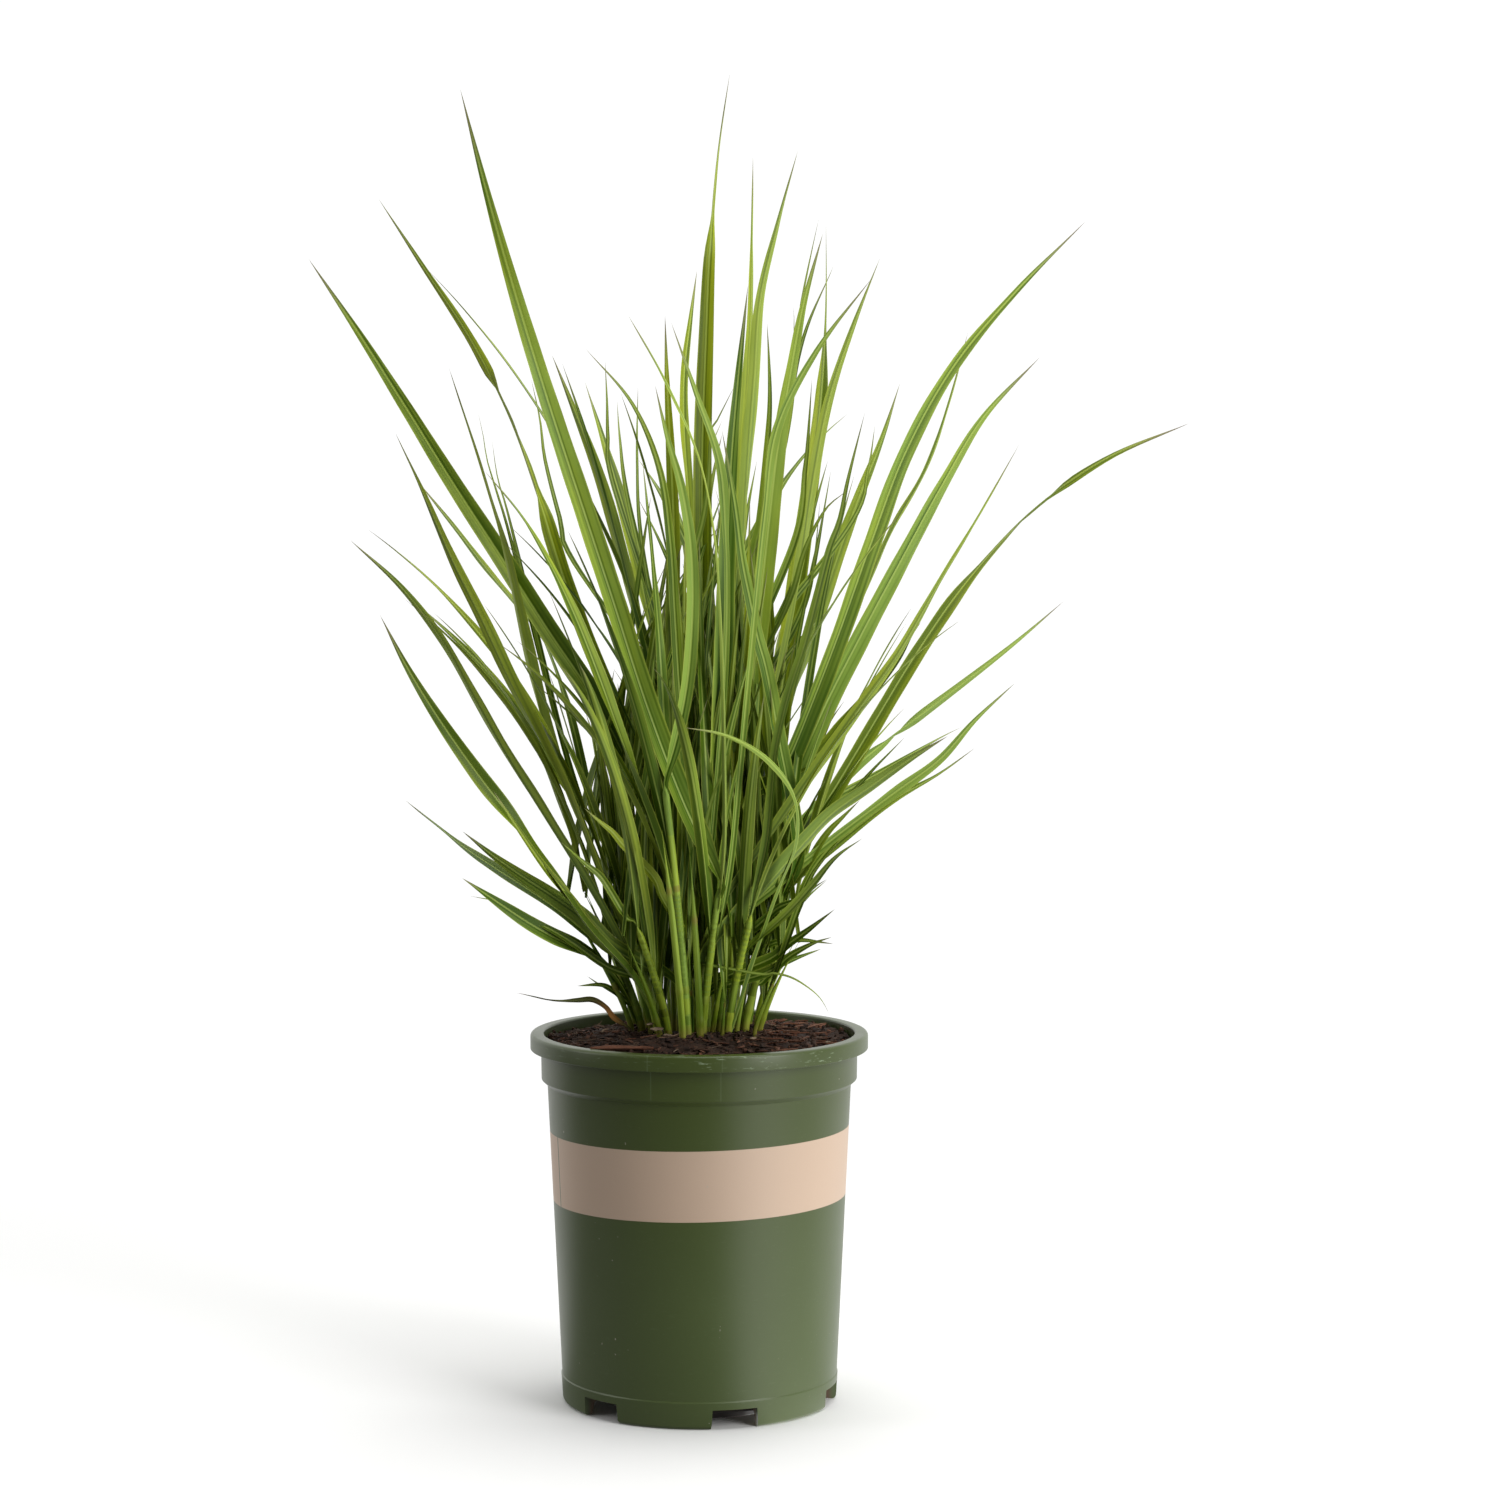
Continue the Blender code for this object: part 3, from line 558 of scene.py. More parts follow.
def growTube(growth, places, radii, look, skin, sides=14, bands=0, pale=0):
    places = np.array(places)
    ahead = unitRows(np.gradient(places, axis=0))
    across = unitRows(np.cross(ahead, (0.31, 0.93, 0.11)))  # a way that no tube runs
    other = np.cross(ahead, across)
    angles = np.linspace(0, 2 * np.pi, sides, endpoint=False)
    spokes = across[:, None] * np.cos(angles)[None, :, None] + other[:, None] * np.sin(angles)[None, :, None]
    points = (places[:, None] + spokes * np.array(radii)[:, None, None]).reshape(-1, 3)
    count = len(places)
    last = (count - 1) * sides
    faces = ringFaces(count, sides) + [tuple(range(sides - 1, -1, -1)), tuple(range(last, last + sides))]
    steps = np.concatenate([[0], np.cumsum(np.linalg.norm(np.diff(places, axis=0), axis=1))])
    lap = np.abs(angles - np.pi) * np.mean(radii) / mm + 1
    shares = steps / steps[-1] * 0.8  # less than 1, so that no end has a blade's brown tip
    where = np.stack([np.tile(lap, count), np.repeat(steps / mm, sides), np.repeat(shares, sides)], 1)
    paleRow, bandRow = (np.repeat(np.broadcast_to(marks, (count,)), sides) for marks in (pale, bands))
    rim = np.stack([paleRow, np.zeros(count * sides), bandRow], 1)
    growth.add(points, faces, where, look, rim, skin)


# the culms: each row is a root on the crown and a top, in millimetres

culmPlan = {
    "rootRadius": 2.2 * mm,
    "topRadius": 1.7 * mm,
    "bow": 1.25,
    "foot": 182.9 * mm,
    "sunk": 3 * mm,
    "stations": 96,
    "topmost": 0.985,  # nothing grows on a culm above this
    "jointRise": 52 * mm,
    "firstJoint": (0.1, 0.5),  # of that rise
    "lastJoint": 12 * mm,  # under the top
    "jointSwell": 0.17,
    "jointHalf": 2.2 * mm,
    "sheath": 48 * mm,
    "sheathShares": (0.6, 1.1),
    "sheathStations": 18,
    "sheathGap": 0.15 * mm,
    "sheathLooks": ((-0.25, 0.1), (-0.15, 0.2)),  # warmth and light, beside the culm's own
    "footBrown": (0.45, 1 * mm, 7 * mm),  # how brown a culm's foot is, and where that ends
    "jointBrown": (0.15, 0.6, 0.3),  # joints below and above this share of a culm
    "thin": (0.72, 0.95),  # how thick the culms are beside the radii above
    "looks": ((0.3, 0.9), (0.45, 1)),
    # painted light: the front culm is drawn at the top of the light range, as it stands lit in front
    "frontLook": (0.45, 1.05, 0.02),
    "age": 0.02,
    "spear": 45 * mm,  # how long a bare top tapers
    "carrierSpear": 7 * mm,  # and one that a long blade grows on
    "rows": (
        ((-5, -28), (-15.5, -60, 308)),
        ((2, -21), (10.6, -44, 258)),
        ((14, -18), (25.7, -40, 244)),
        ((4, -7), (1.9, -29, 262)),
        ((-3, -15), (-6.3, -30, 231)),
        ((22.4, -8), (41.6, -20, 252)),
        ((28, 12), (47.7, 6, 243)),
        ((-14.5, -23), (-29.4, -40, 238)),
        ((-20, -13), (-45, -24, 264)),
        ((-28, -3), (-57, -7, 252)),
        ((-26, 12), (-52, 30, 272)),
        ((-14, 22), (-30, 56, 290)),
        ((2, 28), (4, 66, 280)),
        ((17, 22), (34, 54, 296)),
        ((13, 2), (19, 6, 332)),
        ((-12, 2), (-17, 6, 342)),
        ((0, 13), (1, 24, 346)),
    ),
}


class Culm:
    def __init__(self, root, top, thin):
        self.root = np.array((root[0] * mm, root[1] * mm, culmPlan["foot"]))
        self.span = np.array(top) * mm - self.root
        self.long = np.linalg.norm(self.span)
        self.thin = thin
        self.spear = culmPlan["spear"]
        self.joins = []
        self.growth = Growth()

    def at(self, t):
        lean = max(t, 0) ** culmPlan["bow"]
        return self.root + self.span * (lean, lean, t)

    def ahead(self, t):
        return unit(self.at(t + 0.02) - self.at(max(t - 0.02, 0)))

    def radius(self, t):
        return (culmPlan["rootRadius"] * (1 - t) + culmPlan["topRadius"] * t) * self.thin

    def taper(self, t):
        return 1 - 0.95 * ease(1 - (1 - t) * self.long / self.spear)

    def join(self, t, carrier=False):
        self.joins.append(min(t, culmPlan["topmost"]))
        if carrier and t > 0.95:
            self.spear = culmPlan["carrierSpear"]

    def nearest(self, point):
        steps = np.linspace(0, 1, 101)
        gaps = [np.linalg.norm(self.at(t) - point) for t in steps]
        best = int(np.argmin(gaps))
        return gaps[best], steps[best]


def growCulm(culm, look, rng):
    plan = culmPlan
    steps = np.linspace(-plan["sunk"] / culm.long, 1, plan["stations"])
    rise = steps * culm.long
    radii = np.array([culm.radius(t) for t in steps])
    brown, start, run = plan["footBrown"]
    low, high, share = plan["jointBrown"]
    marks = brown * (1 - ease((rise - start) / run))
    first = rng.uniform(*plan["firstJoint"]) * plan["jointRise"]
    for height in np.arange(first, culm.long - plan["lastJoint"], plan["jointRise"]):
        bump = np.exp(-((rise - height) / plan["jointHalf"]) ** 2)
        radii = radii * (1 + plan["jointSwell"] * bump)
        marks = np.maximum(marks, bump * (high if height > share * culm.long else low))
    growTube(culm.growth, [culm.at(t) for t in steps], radii * culm.taper(steps), look, 0, bands=marks)
    for t in sorted(culm.joins):
        bottom = t - plan["sheath"] * rng.uniform(*plan["sheathShares"]) / culm.long
        if bottom < 0.02:
            continue
        share = np.linspace(0, 1, plan["sheathStations"])
        reach = bottom + (t - bottom) * share
        gap = plan["sheathGap"] * (0.1 + 0.9 * ease(share / 0.3))
        shell = np.array([culm.radius(s) for s in reach]) + gap
        shell = shell * culm.taper(reach) * (1 - 0.55 * ease((share - 0.96) / 0.04))
        warmer, lighter = draws(rng, plan["sheathLooks"])
        growTube(culm.growth, [culm.at(s) for s in reach], shell, (look[0] + warmer, look[1] + lighter, 0.03),
                 0, pale=ease((share - 0.9) / 0.08))


# the long blades: each takes its line and width from its CAD node

longPlan = {
    "lead": 7 * mm,
    "inset": 0.7,  # how far off its culm's middle a blade starts, in the culm's radii
    "age": 0.02,
    "turns": {  # how far a blade is turned from the front: share of its length, degrees
        1: ((0, 25), (0.6, 20), (0.85, -5), (1, -10)),
        2: ((0, 35), (0.15, 15), (1, 10)),
        3: ((0, 25), (0.44, 15), (0.53, 82), (0.66, 97), (0.71, 160)),
        4: ((0, 10), (1, 12)),
        9: ((0, 73), (0.42, 70), (0.64, 12)),
        10: ((0, 55), (0.66, 50), (0.82, 80), (1, 84)),
        17: ((0, 10), (1, 15)),
        19: ((0, 15), (1, 20)),
        21: ((0, 10), (0.73, 5), (0.82, 76), (1, 80)),
        23: ((0, 15), (1, 10)),
        25: ((0, 15), (1, 25)),
        26: ((0, 20), (1, 10)),
        29: ((0, 20), (1, 25)),
        31: ((0, 32), (0.6, 30), (1, 40)),
        33: ((0, 15), (1, 25)),
        35: ((0, 20), (0.56, 25), (0.69, 72), (0.765, 92), (0.83, 155), (1, 165)),
        36: ((0.48, 10), (0.66, 170)),
        37: ((0, 0), (1, 25)),
    },
    "widths": {  # and how wide it is there, as a share of its usual width
        2: ((0, 1.3), (0.15, 0.8), (1, 0.8)),
        9: ((0, 0.65), (0.40, 0.65), (0.62, 1)),
        17: ((0, 0.65), (1, 0.65)),
        18: ((0, 0.3), (0.72, 0.3), (0.84, 1.4)),
        19: ((0, 0.35), (0.60, 0.35), (0.70, 0.8)),
        26: ((0, 1.25), (0.76, 1.25), (0.86, 0.3), (1, 0.3)),
        29: ((0, 0.5), (0.60, 0.5), (0.75, 1.2)),
        34: ((0, 0.75), (1, 0.75)),
        36: ((0, 0.75), (1, 0.75)),
        37: ((0, 0.5), (0.50, 0.5), (0.66, 0.85)),
        40: ((0, 0.75), (0.45, 0.75), (0.60, 0.6), (0.75, 0.8), (1, 0.75)),
    },
    "looks": (  # warmth and light of each
        (0.30, 0.62), (0.10, 0.90), (0.85, 0.36), (0.45, 0.50), (0.75, 0.45),
        (0.60, 0.35), (0.50, 0.50), (0.60, 0.45), (0.55, 0.02), (0.30, 0.10),
        (0.40, 0.18), (0.30, 0.15), (0.70, 0.60), (0.50, 0.20), (0.65, 0.45),
        (0.65, 0.50), (0.45, 0.32), (0.50, 0.60), (0.10, 0.85), (0.80, 0.50),
        (0.95, 0.50), (0.80, 0.44), (0.15, 0.20), (0.50, 0.60), (0.30, 0.75),
        (0.80, 0.42), (0.45, 0.30), (0.60, 0.60), (0.10, 0.85), (0.55, 0.40),
        (0.25, 0.62), (0.70, 0.35), (0.15, 0.82), (0.60, 0.45), (0.80, 0.15),
        (0.10, 0.60), (0.10, 0.85), (0.30, 0.50), (0.45, 0.45), (0.30, 0.44),
    ),
}


def readBlade(name):  # a CAD blade's sections, base first: centres up to the tip, faces, half widths
    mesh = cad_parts[name].data
    keys = [tuple(vert.co) for vert in mesh.vertices]
    links = {key: set() for key in keys}
    for edge in mesh.edges:
        a, b = (keys[k] for k in edge.vertices)
        links[a].add(b)
        links[b].add(a)
    for tip in links:
        layers, seen = [{tip}], {tip}
        while layers[-1]:
            layers.append({key for near in layers[-1] for key in links[near]} - seen)
            seen |= layers[-1]
        rings = layers[-2:0:-1]
        if all(len(ring) == 4 for ring in rings):
            break
    centres, faces, halves = [], [], []
    for ring in rings:
        corners = [np.array(key) for key in sorted(ring)]
        a, b = max(itertools.combinations(range(4), 2),
                   key=lambda pair: np.linalg.norm(corners[pair[0]] - corners[pair[1]]))
        middle = (corners[a] + corners[b]) / 2
        valley, keel = sorted((corners[k] for k in range(4) if k not in (a, b)),
                              key=lambda corner: np.linalg.norm(corner - middle))
        centres.append((valley + keel) / 2)
        faces.append(unit(valley - keel))
        halves.append(np.linalg.norm(corners[a] - middle))
    return centres + [np.array(tip)], faces + [faces[-1]], halves


def growLongBlade(number, culms, material, rng):
    node = f"leaf_{number:02d}"
    centres, faces, halves = readBlade(node)
    _, t, culm = min(((*culm.nearest(centres[0]), culm) for culm in culms), key=lambda found: found[0])
    below = t - longPlan["lead"] / culm.long
    out = centres[0] - culm.at(t)
    root = culm.at(below) + unit(out) * min(culm.radius(t) * longPlan["inset"], np.linalg.norm(out))
    look = (*longPlan["looks"][number - 1], longPlan["age"])
    growth = Growth()
    growBlade(growth, [root, *centres], [faces[0], *faces], 2 * max(halves[2:4]), look, rng,
              lead=np.linalg.norm(centres[0] - root), turns=longPlan["turns"].get(number),
              widths=longPlan["widths"].get(number))
    culm.join(t, carrier=True)
    growth.piece(f"blade{number:02d}", "leaf", [node], [material])


# the side blades of each culm, drawn as in the CAD and found again in its nodes

sidePlan = {
    "seed": 11,
    "blades": 3,
    "turns": (0, 25, -25, 50, -50, 80, -80, 115, -115, 150, 180),
    "steps": 12,
    "root": 2 * mm,
    "joins": (0.35, 0.5),  # where on a culm they start, and over how much of it
    "astray": 0.3,
    "topLonger": 1.15,  # the one on top of the culm
    "spread": (-0.9, 0.9),
    "length": (120 * mm, 215 * mm),
    "leanIn": (5, 12),  # degrees: of a blade that grows in over the clump, and of one that grows out
    "leanOut": (10, 20),
    "bendIn": (8, 22),
    "bendOut": (18, 38),
    "bendAside": 28,
    "width": (3.2 * mm, 5.2 * mm),
    "same": 0.1 * mm,
    "wider": 1.2,
    "stations": 36,
    "twist": 0.5,
    # their light is drawn low: painted shade for the inside of the clump
    "looks": ((0.2, 0.9), (0, 0.45), (0, 0.1)),  # warmth, light and age
}


def sideLine(culm, t, azimuth, length, leanStart, leanEnd, curl=1.2):
    steps = sidePlan["steps"]
    lean = leanStart + (leanEnd - leanStart) * ((np.arange(steps) + 0.5) / steps) ** curl
    out = toward(azimuth)
    moves = (out * np.sin(lean)[:, None] + (0, 0, 1) * np.cos(lean)[:, None]) * (length / steps)
    start = culm.at(t) - culm.ahead(t) * sidePlan["root"]
    return start + np.vstack([np.zeros(3), np.cumsum(moves, axis=0)])


def growOn(culm, t, azimuth, line, plan, rng, width=None):
    faces = [unit(np.array((-math.cos(azimuth), -math.sin(azimuth), 0.3)))] * len(line)
    look = draws(rng, plan["looks"])
    growBlade(culm.growth, line, faces, width or rng.uniform(*plan["width"]), look, rng, plan["stations"],
              "plain", twist=plan["twist"], skin=1)
    culm.join(t)


def sideDraws(culm, rng):
    plan = sidePlan
    outward = math.atan2(culm.at(1)[1], culm.at(1)[0])
    first, run = plan["joins"]
    drawn = []
    for k in range(plan["blades"] + 1):  # first the one on top, then up the culm, left and right in turn
        astray = plan["astray"]
        t = first + run * (k - 0.5 + rng.uniform(-astray, astray)) / plan["blades"] if k else 1
        azimuth = outward + (k % 2) * math.pi + rng.uniform(*plan["spread"])
        inward = math.cos(azimuth - outward) < 0
        length = rng.uniform(*plan["length"]) * (1 if k else plan["topLonger"])
        leanStart = math.radians(rng.uniform(*plan["leanIn" if inward else "leanOut"]))
        bend = rng.uniform(*plan["bendIn" if inward else "bendOut"])
        if not inward:
            bend += plan["bendAside"] * (1 - abs(math.cos(azimuth)))
        drawn.append((t, azimuth, length, leanStart, leanStart + math.radians(bend),
                      rng.uniform(*plan["width"])))
    return drawn


def growSideBlades(culm, node, drawn, rng):
    verts = np.array([vert.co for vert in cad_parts[node].data.vertices])
    for t, azimuth, length, leanStart, leanEnd, width in drawn:
        tries = []
        for turn in sidePlan["turns"]:
            way = azimuth + math.radians(turn)
            line = sideLine(culm, t, way, length, leanStart, leanEnd)
            tries.append((np.linalg.norm(verts - line[-1], axis=1).min(), way, line))
        gap, way, line = min(tries, key=lambda found: found[0])
        if gap < sidePlan["same"]:
            growOn(culm, t, way, line, sidePlan, rng, width * sidePlan["wider"])


# more blades inside the clump: each row of the fan is a height, then how far blades may reach to the
# left, right, front and back, in millimetres

fillPlan = {
    "seed": 5,
    "perCulm": 5,
    "perShoot": 2,
    "tries": 40,
    "free": 3,  # the first points of a blade may lie outside the fan
    "fan": (
        (185, -34, 42, 22, 40),
        (240, -52, 56, 30, 80),
        (300, -66, 70, 34, 120),
        (350, -60, 66, 40, 150),
        (390, -28, 42, 50, 150),
        (425, -8, 28, 50, 130),
        (460, 2, 20, 40, 100),
        (500, 4, 12, 20, 60),
    ),
    "length": (110 * mm, 250 * mm),
    "width": (3 * mm, 6.5 * mm),
    "joins": (0.12, 0.9),
    "spread": 0.75,  # how far headings stray from the left and the right
    "lean": (2, 14),
    "bend": (2, 34),
    "curl": 1.5,
    "stations": 32,
    "twist": 0.4,
    # their light is drawn low: painted shade for the inside of the clump
    "looks": ((0.2, 0.9), (0, 0.4), (0, 0.1)),
}


def insideFan(line):
    rows = np.array(fillPlan["fan"]) * mm
    left, right, front, back = (np.interp(line[:, 2], rows[:, 0], rows[:, k]) for k in range(1, 5))
    x, y, z = line.T
    inside = (left < x) & (x < right) & (-front < y) & (y < back) & (z < rows[-1, 0])
    return inside[fillPlan["free"]:].all()


def growFill(culm, count, rng, topped=False):
    plan = fillPlan
    for k in range(count):
        for _ in range(plan["tries"]):
            t = 1 if topped and k == 0 else rng.uniform(*plan["joins"])
            way = rng.choice((-1, 1)) * math.pi / 2 + rng.gauss(0, plan["spread"])
            leanStart = math.radians(rng.uniform(*plan["lean"]))
            leanEnd = leanStart + math.radians(rng.uniform(*plan["bend"]))
            line = sideLine(culm, t, way, rng.uniform(*plan["length"]), leanStart, leanEnd, plan["curl"])
            if insideFan(line):
                growOn(culm, t, way, line, plan, rng)
                break


# the smallest blades that show one by one: depth of the tip and width in millimetres, warmth, light,
# and its places in the view's pixels, x and y in turn, tip first, then the culm whose top carries it
# if that isn't looked for

sprigPlan = {
    "rows": (
        (20, 3.5, 0.5, 0.5, (531, 378, 540, 420, 545, 460, 560, 520, 572, 560)),
        (40, 3, 0.5, 0.5, (478, 412, 484, 440, 487, 460, 499, 500, 512, 545)),
        (35, 3, 0.4, 0.5, (492, 440, 498, 480, 512, 530)),
        (80, 3.5, 0.5, 0.5, (605, 360, 607, 400, 608, 440, 612, 480)),
        (95, 3.5, 0.6, 0.4, (617, 400, 620, 440, 628, 500)),
        (60, 2.5, 0.3, 0.2, (638, 385, 637, 460, 641, 540)),
        (-15, 7, 0.8, 0.6, (665, 315, 667, 380, 671, 460, 674, 534, 673, 600, 673, 660, 672, 730)),
        (90, 3.5, 0.6, 0.5, (819, 218, 812, 250, 802, 300, 797, 340, 787, 430)),
        (-30, 2.5, 0.5, 0.4, (793, 305, 794, 330, 790, 420)),
        (-35, 5, 0.4, 0.85, (767, 322, 769, 360, 770, 400, 768, 440, 761, 520, 755, 550, 754, 600)),
        (-50, 4, 0.3, 0.8, (812, 378, 808, 440, 805, 470, 795, 540)),
        (30, 3, 0.6, 0.5, (715, 245, 712, 270, 708, 360)),
        (-25, 3.5, 0.4, 0.6, (735, 385, 715, 425, 711, 435, 703, 520)),
        (-60, 5, 0.8, 0.4, (493, 790, 520, 832, 545, 868, 575, 905, 600, 938)),
        (-30, 3.5, 0.4, 0.3, (470, 896, 485, 899, 498, 903, 560, 935, 606, 966)),
        (-8, 3.2, 0.2, 0.15, (577, 986, 600, 985, 612, 990, 626, 1001)),
        (4, 2.2, 0.3, 0.2, (587, 976, 600, 985, 625, 1000)),
        (20, 8.5, 0.6, 0.2, (921, 622, 912, 635, 898, 660, 872, 692, 845, 724, 816, 756)),
        (60, 4.5, 0.5, 0.5, (962, 727, 940, 738, 870, 778, 830, 800, 800, 822)),
        (-50, 4, 0.4, 0.5, (905, 737, 875, 768, 850, 795, 812, 832)),
        (10, 3.5, 0.4, 0.4, (867, 808, 848, 828, 815, 866)),
        (-60, 4.5, 0.3, 0.8, (863, 838, 835, 858, 812, 885, 785, 915)),
        (30, 3.5, 0.4, 0.5, (827, 880, 808, 897, 785, 925)),
        (50, 6.5, 0.8, 0.4, (855, 642, 845, 670, 835, 700, 820, 738)),
        (15, 4.5, 0.6, 0.4, (845, 700, 830, 722, 808, 762)),
        (-30, 4, 0.5, 0.5, (828, 775, 812, 805, 796, 842)),
        (-35, 6, 0.4, 0.3, (835, 909, 815, 925, 803, 934, 786, 946, 768, 960)),
        (-25, 5, 0.3, 0.2, (834, 944, 800, 940, 775, 943, 752, 952)),
        (-30, 5.5, 0.4, 0.25, (832, 937, 812, 944, 790, 956, 768, 972)),
        (-5, 4.5, 0.3, 0.2, (821, 949, 795, 959, 775, 968, 762, 982)),
        (-60, 5.2, 0.2, 0.85, (865, 412, 848, 480, 840, 520, 828, 554, 806, 640, 790, 690, 777, 745,
            773, 785, 768, 836, 761, 872, 756, 890), 3),
        (70, 4, 0.5, 0.5, (875, 425, 868, 470, 850, 525)),
        (40, 4, 0.5, 0.5, (828, 460, 808, 530, 790, 595)),
        (60, 4, 0.5, 0.5, (831, 470, 815, 560, 798, 620)),
        (-30, 4, 0.4, 0.6, (848, 490, 825, 510, 805, 550, 788, 605)),
        (50, 3.5, 0.5, 0.5, (757, 460, 746, 520, 738, 590)),
        (-30, 5.2, 0.8, 0.75, (750, 500, 748, 600, 745, 650, 741, 700, 735, 740, 733, 780, 735, 820,
            734, 850, 732, 880)),
        (0, 6.6, 0.85, 0.4, (786, 430, 782, 480, 774, 546, 770, 600, 771, 640, 764, 712, 755, 766,
            745, 820, 744, 850)),
        # the lower run of a long blade where it passes into shade, drawn as its own darker blade: painted
        # shade
        (-70, 7, 0.1, 0.3, (722, 430, 735, 505, 742, 560, 750, 600, 757, 636, 765, 665, 772, 700,
            778, 735)),
        (40, 2.8, 0.4, 0.15, (820, 500, 816, 546, 812, 576, 806, 600, 798, 640, 790, 680)),
        (-45, 3.6, 0.5, 0.5, (560, 841, 582, 861, 600, 876, 612, 894, 620, 908, 627, 919), 8),
        (-50, 5.4, 0.8, 0.7, (584, 808, 600, 822, 612, 832, 622, 844, 634, 856, 654, 879, 661, 897,
            674, 918), 5),
        (-45, 4.4, 0.3, 0.15, (827, 879, 814, 888, 802, 900, 790, 903, 778, 908, 764, 920, 748, 932)),
        (-30, 6, 0.5, 0.85, (860, 800, 842, 818, 830, 830, 820, 844, 812, 858, 802, 872, 784, 896)),
        (-40, 3.6, 0.4, 0.4, (839, 842, 825, 858, 814, 872, 808, 884, 802, 900, 794, 920)),
        (-60, 2, 0.3, 0.95, (725, 759, 720, 778, 714, 793, 709, 811, 706, 828, 703, 855), 4),
        (-50, 1.4, 0.4, 0.2, (830, 1015, 820, 998, 806, 986, 790, 977, 772, 973, 760, 974)),
    ),
    "run": 0.3,  # how far a blade follows its stem, as a share of the way to its first place
    "depthCurl": 1.3,
    "joins": (0.04, 0.94, 24),  # from here to here on a culm, in so many steps
    "leastRise": 3 * mm,
    "depthCost": 100 * mm,
    "riseCost": 200 * mm,
    "usualRise": 40 * mm,
    "wide": 4.6,  # from this width on a blade is made finer
    "made": ((36, "plain", 0.4), (48, "fine", 0.15)),  # stations, section and twist of each kind
    "age": 0.03,
}


def growSprig(row, culms, rng):
    depth, width, warmth, light, places, *carrier = row
    plan = sprigPlan
    seen = list(zip(places[-2::-2], places[::-2]))
    best = None
    for culm in [culms[number - 1] for number in carrier] or culms:
        for t in [culmPlan["topmost"]] if carrier else np.linspace(*plan["joins"]):
            onStem = culm.at(t)
            goal = sightPoint(seen[0], onStem[1])
            rise = goal - onStem
            long = np.linalg.norm(rise)
            if rise[2] < plan["leastRise"]:
                continue
            course = unit(sightPoint(seen[1], onStem[1]) - goal)
            bend = math.acos(np.clip(rise @ course / long, -1, 1))
            bend += 0.5 * math.acos(rise @ culm.ahead(t) / long)
            cost = bend + abs(onStem[1] - depth * mm / 3) / plan["depthCost"]
            cost += abs(long - plan["usualRise"]) / plan["riseCost"]
            if best is None or cost < best[0]:
                best = (cost, culm, t, rise, long)
    _, culm, t, rise, long = best
    start = culm.at(t)
    first = long * view["focal"] / view["distance"]
    steps = np.cumsum([first] + [math.dist(a, b) for a, b in zip(seen, seen[1:])])
    line = [start, start + culm.ahead(t) * long * plan["run"] + unit(rise) * culm.radius(t)]
    for pixel, step in zip(seen, steps):
        share = (step / steps[-1]) ** plan["depthCurl"]
        line.append(sightPoint(pixel, start[1] + (depth * mm - start[1]) * share))
    way = math.atan2(*(line[-1] - start)[1::-1])
    faces = [unit(np.array((-math.cos(way) * 0.5, -0.8, 0.35)))] * len(line)
    stations, section, twist = plan["made"][width > plan["wide"]]
    growBlade(culm.growth, line, faces, width * mm, (warmth, light, plan["age"]), rng, stations, section,
              twist=twist, skin=1)
    culm.join(t, carrier=bool(carrier))


# young shoots beside the culms

shootPlan = {
    "perCulm": 2,
    "apart": (4.2, 8),
    "tries": 30,
    "height": (0.45, 0.95),
    "thin": (0.55, 0.85),
    "outward": (1.2, 2.4),  # how much further its top stands off the culm than its root
    "crown": 36,
    "room": 3.6,
    "looks": ((0.2, 0.8), (0.1, 0.9)),
    "right": ((27, -20), (49, -19, 232), 0.5),  # the slender one at the right of the clump
}


def placeShoots(culms, rng):
    plan = shootPlan
    roots = [row[0] for row in culmPlan["rows"]]
    shoots = [Culm(*plan["right"])]
    for culm in culms:
        for _ in range(plan["perCulm"]):
            for _ in range(plan["tries"]):
                way, apart = rng.uniform(0, 2 * math.pi), rng.uniform(*plan["apart"])
                step = toward(way) * apart
                root = tuple((culm.root / mm + step)[:2])
                room = min(math.dist(root, other) for other in roots)
                if math.hypot(*root) < plan["crown"] and room > plan["room"]:
                    roots.append(root)
                    top = culm.at(rng.uniform(*plan["height"])) / mm
                    top = top + step * rng.uniform(*plan["outward"])
                    shoots.append(Culm(root, top, rng.uniform(*plan["thin"])))
                    break
    return shoots


def growPlant():
    leafSkin = newMaterial("leafSkin", grassSkin(bladeSkin))
    stemSkin = newMaterial("stemSkin", grassSkin(culmSkin))
    rng = random.Random(fillPlan["seed"])
    culms = [Culm(*row, rng.uniform(*culmPlan["thin"])) for row in culmPlan["rows"]]
    for number in range(1, len(longPlan["looks"]) + 1):
        growLongBlade(number, culms, leafSkin, rng)
    print("long blades grown")
    shoots = placeShoots(culms, rng)
    for row in sprigPlan["rows"]:
        growSprig(row, culms + shoots[:1], rng)
    sideRng = random.Random(sidePlan["seed"])
    for number, culm in enumerate(culms, 1):
        node = f"stem_{number:02d}"
        growSideBlades(culm, node, sideDraws(culm, sideRng), rng)
        growFill(culm, fillPlan["perCulm"], rng)
        look = (*draws(rng, culmPlan["looks"]), culmPlan["age"])
        growCulm(culm, culmPlan["frontLook"] if number == 1 else look, rng)
        culm.growth.piece(f"culm{number:02d}", "stem", [node], [stemSkin, leafSkin])
    for number, shoot in enumerate(shoots, 1):
        growFill(shoot, fillPlan["perShoot"], rng, topped=True)
        growCulm(shoot, (*draws(rng, shootPlan["looks"]), culmPlan["age"]), rng)
        shoot.growth.piece(f"shoot{number:02d}", "stem", [], [stemSkin, leafSkin])
    print("culms grown:", len(culms), "and", len(shoots), "shoots")


# turned shapes: profiles are (radius, height) in metres

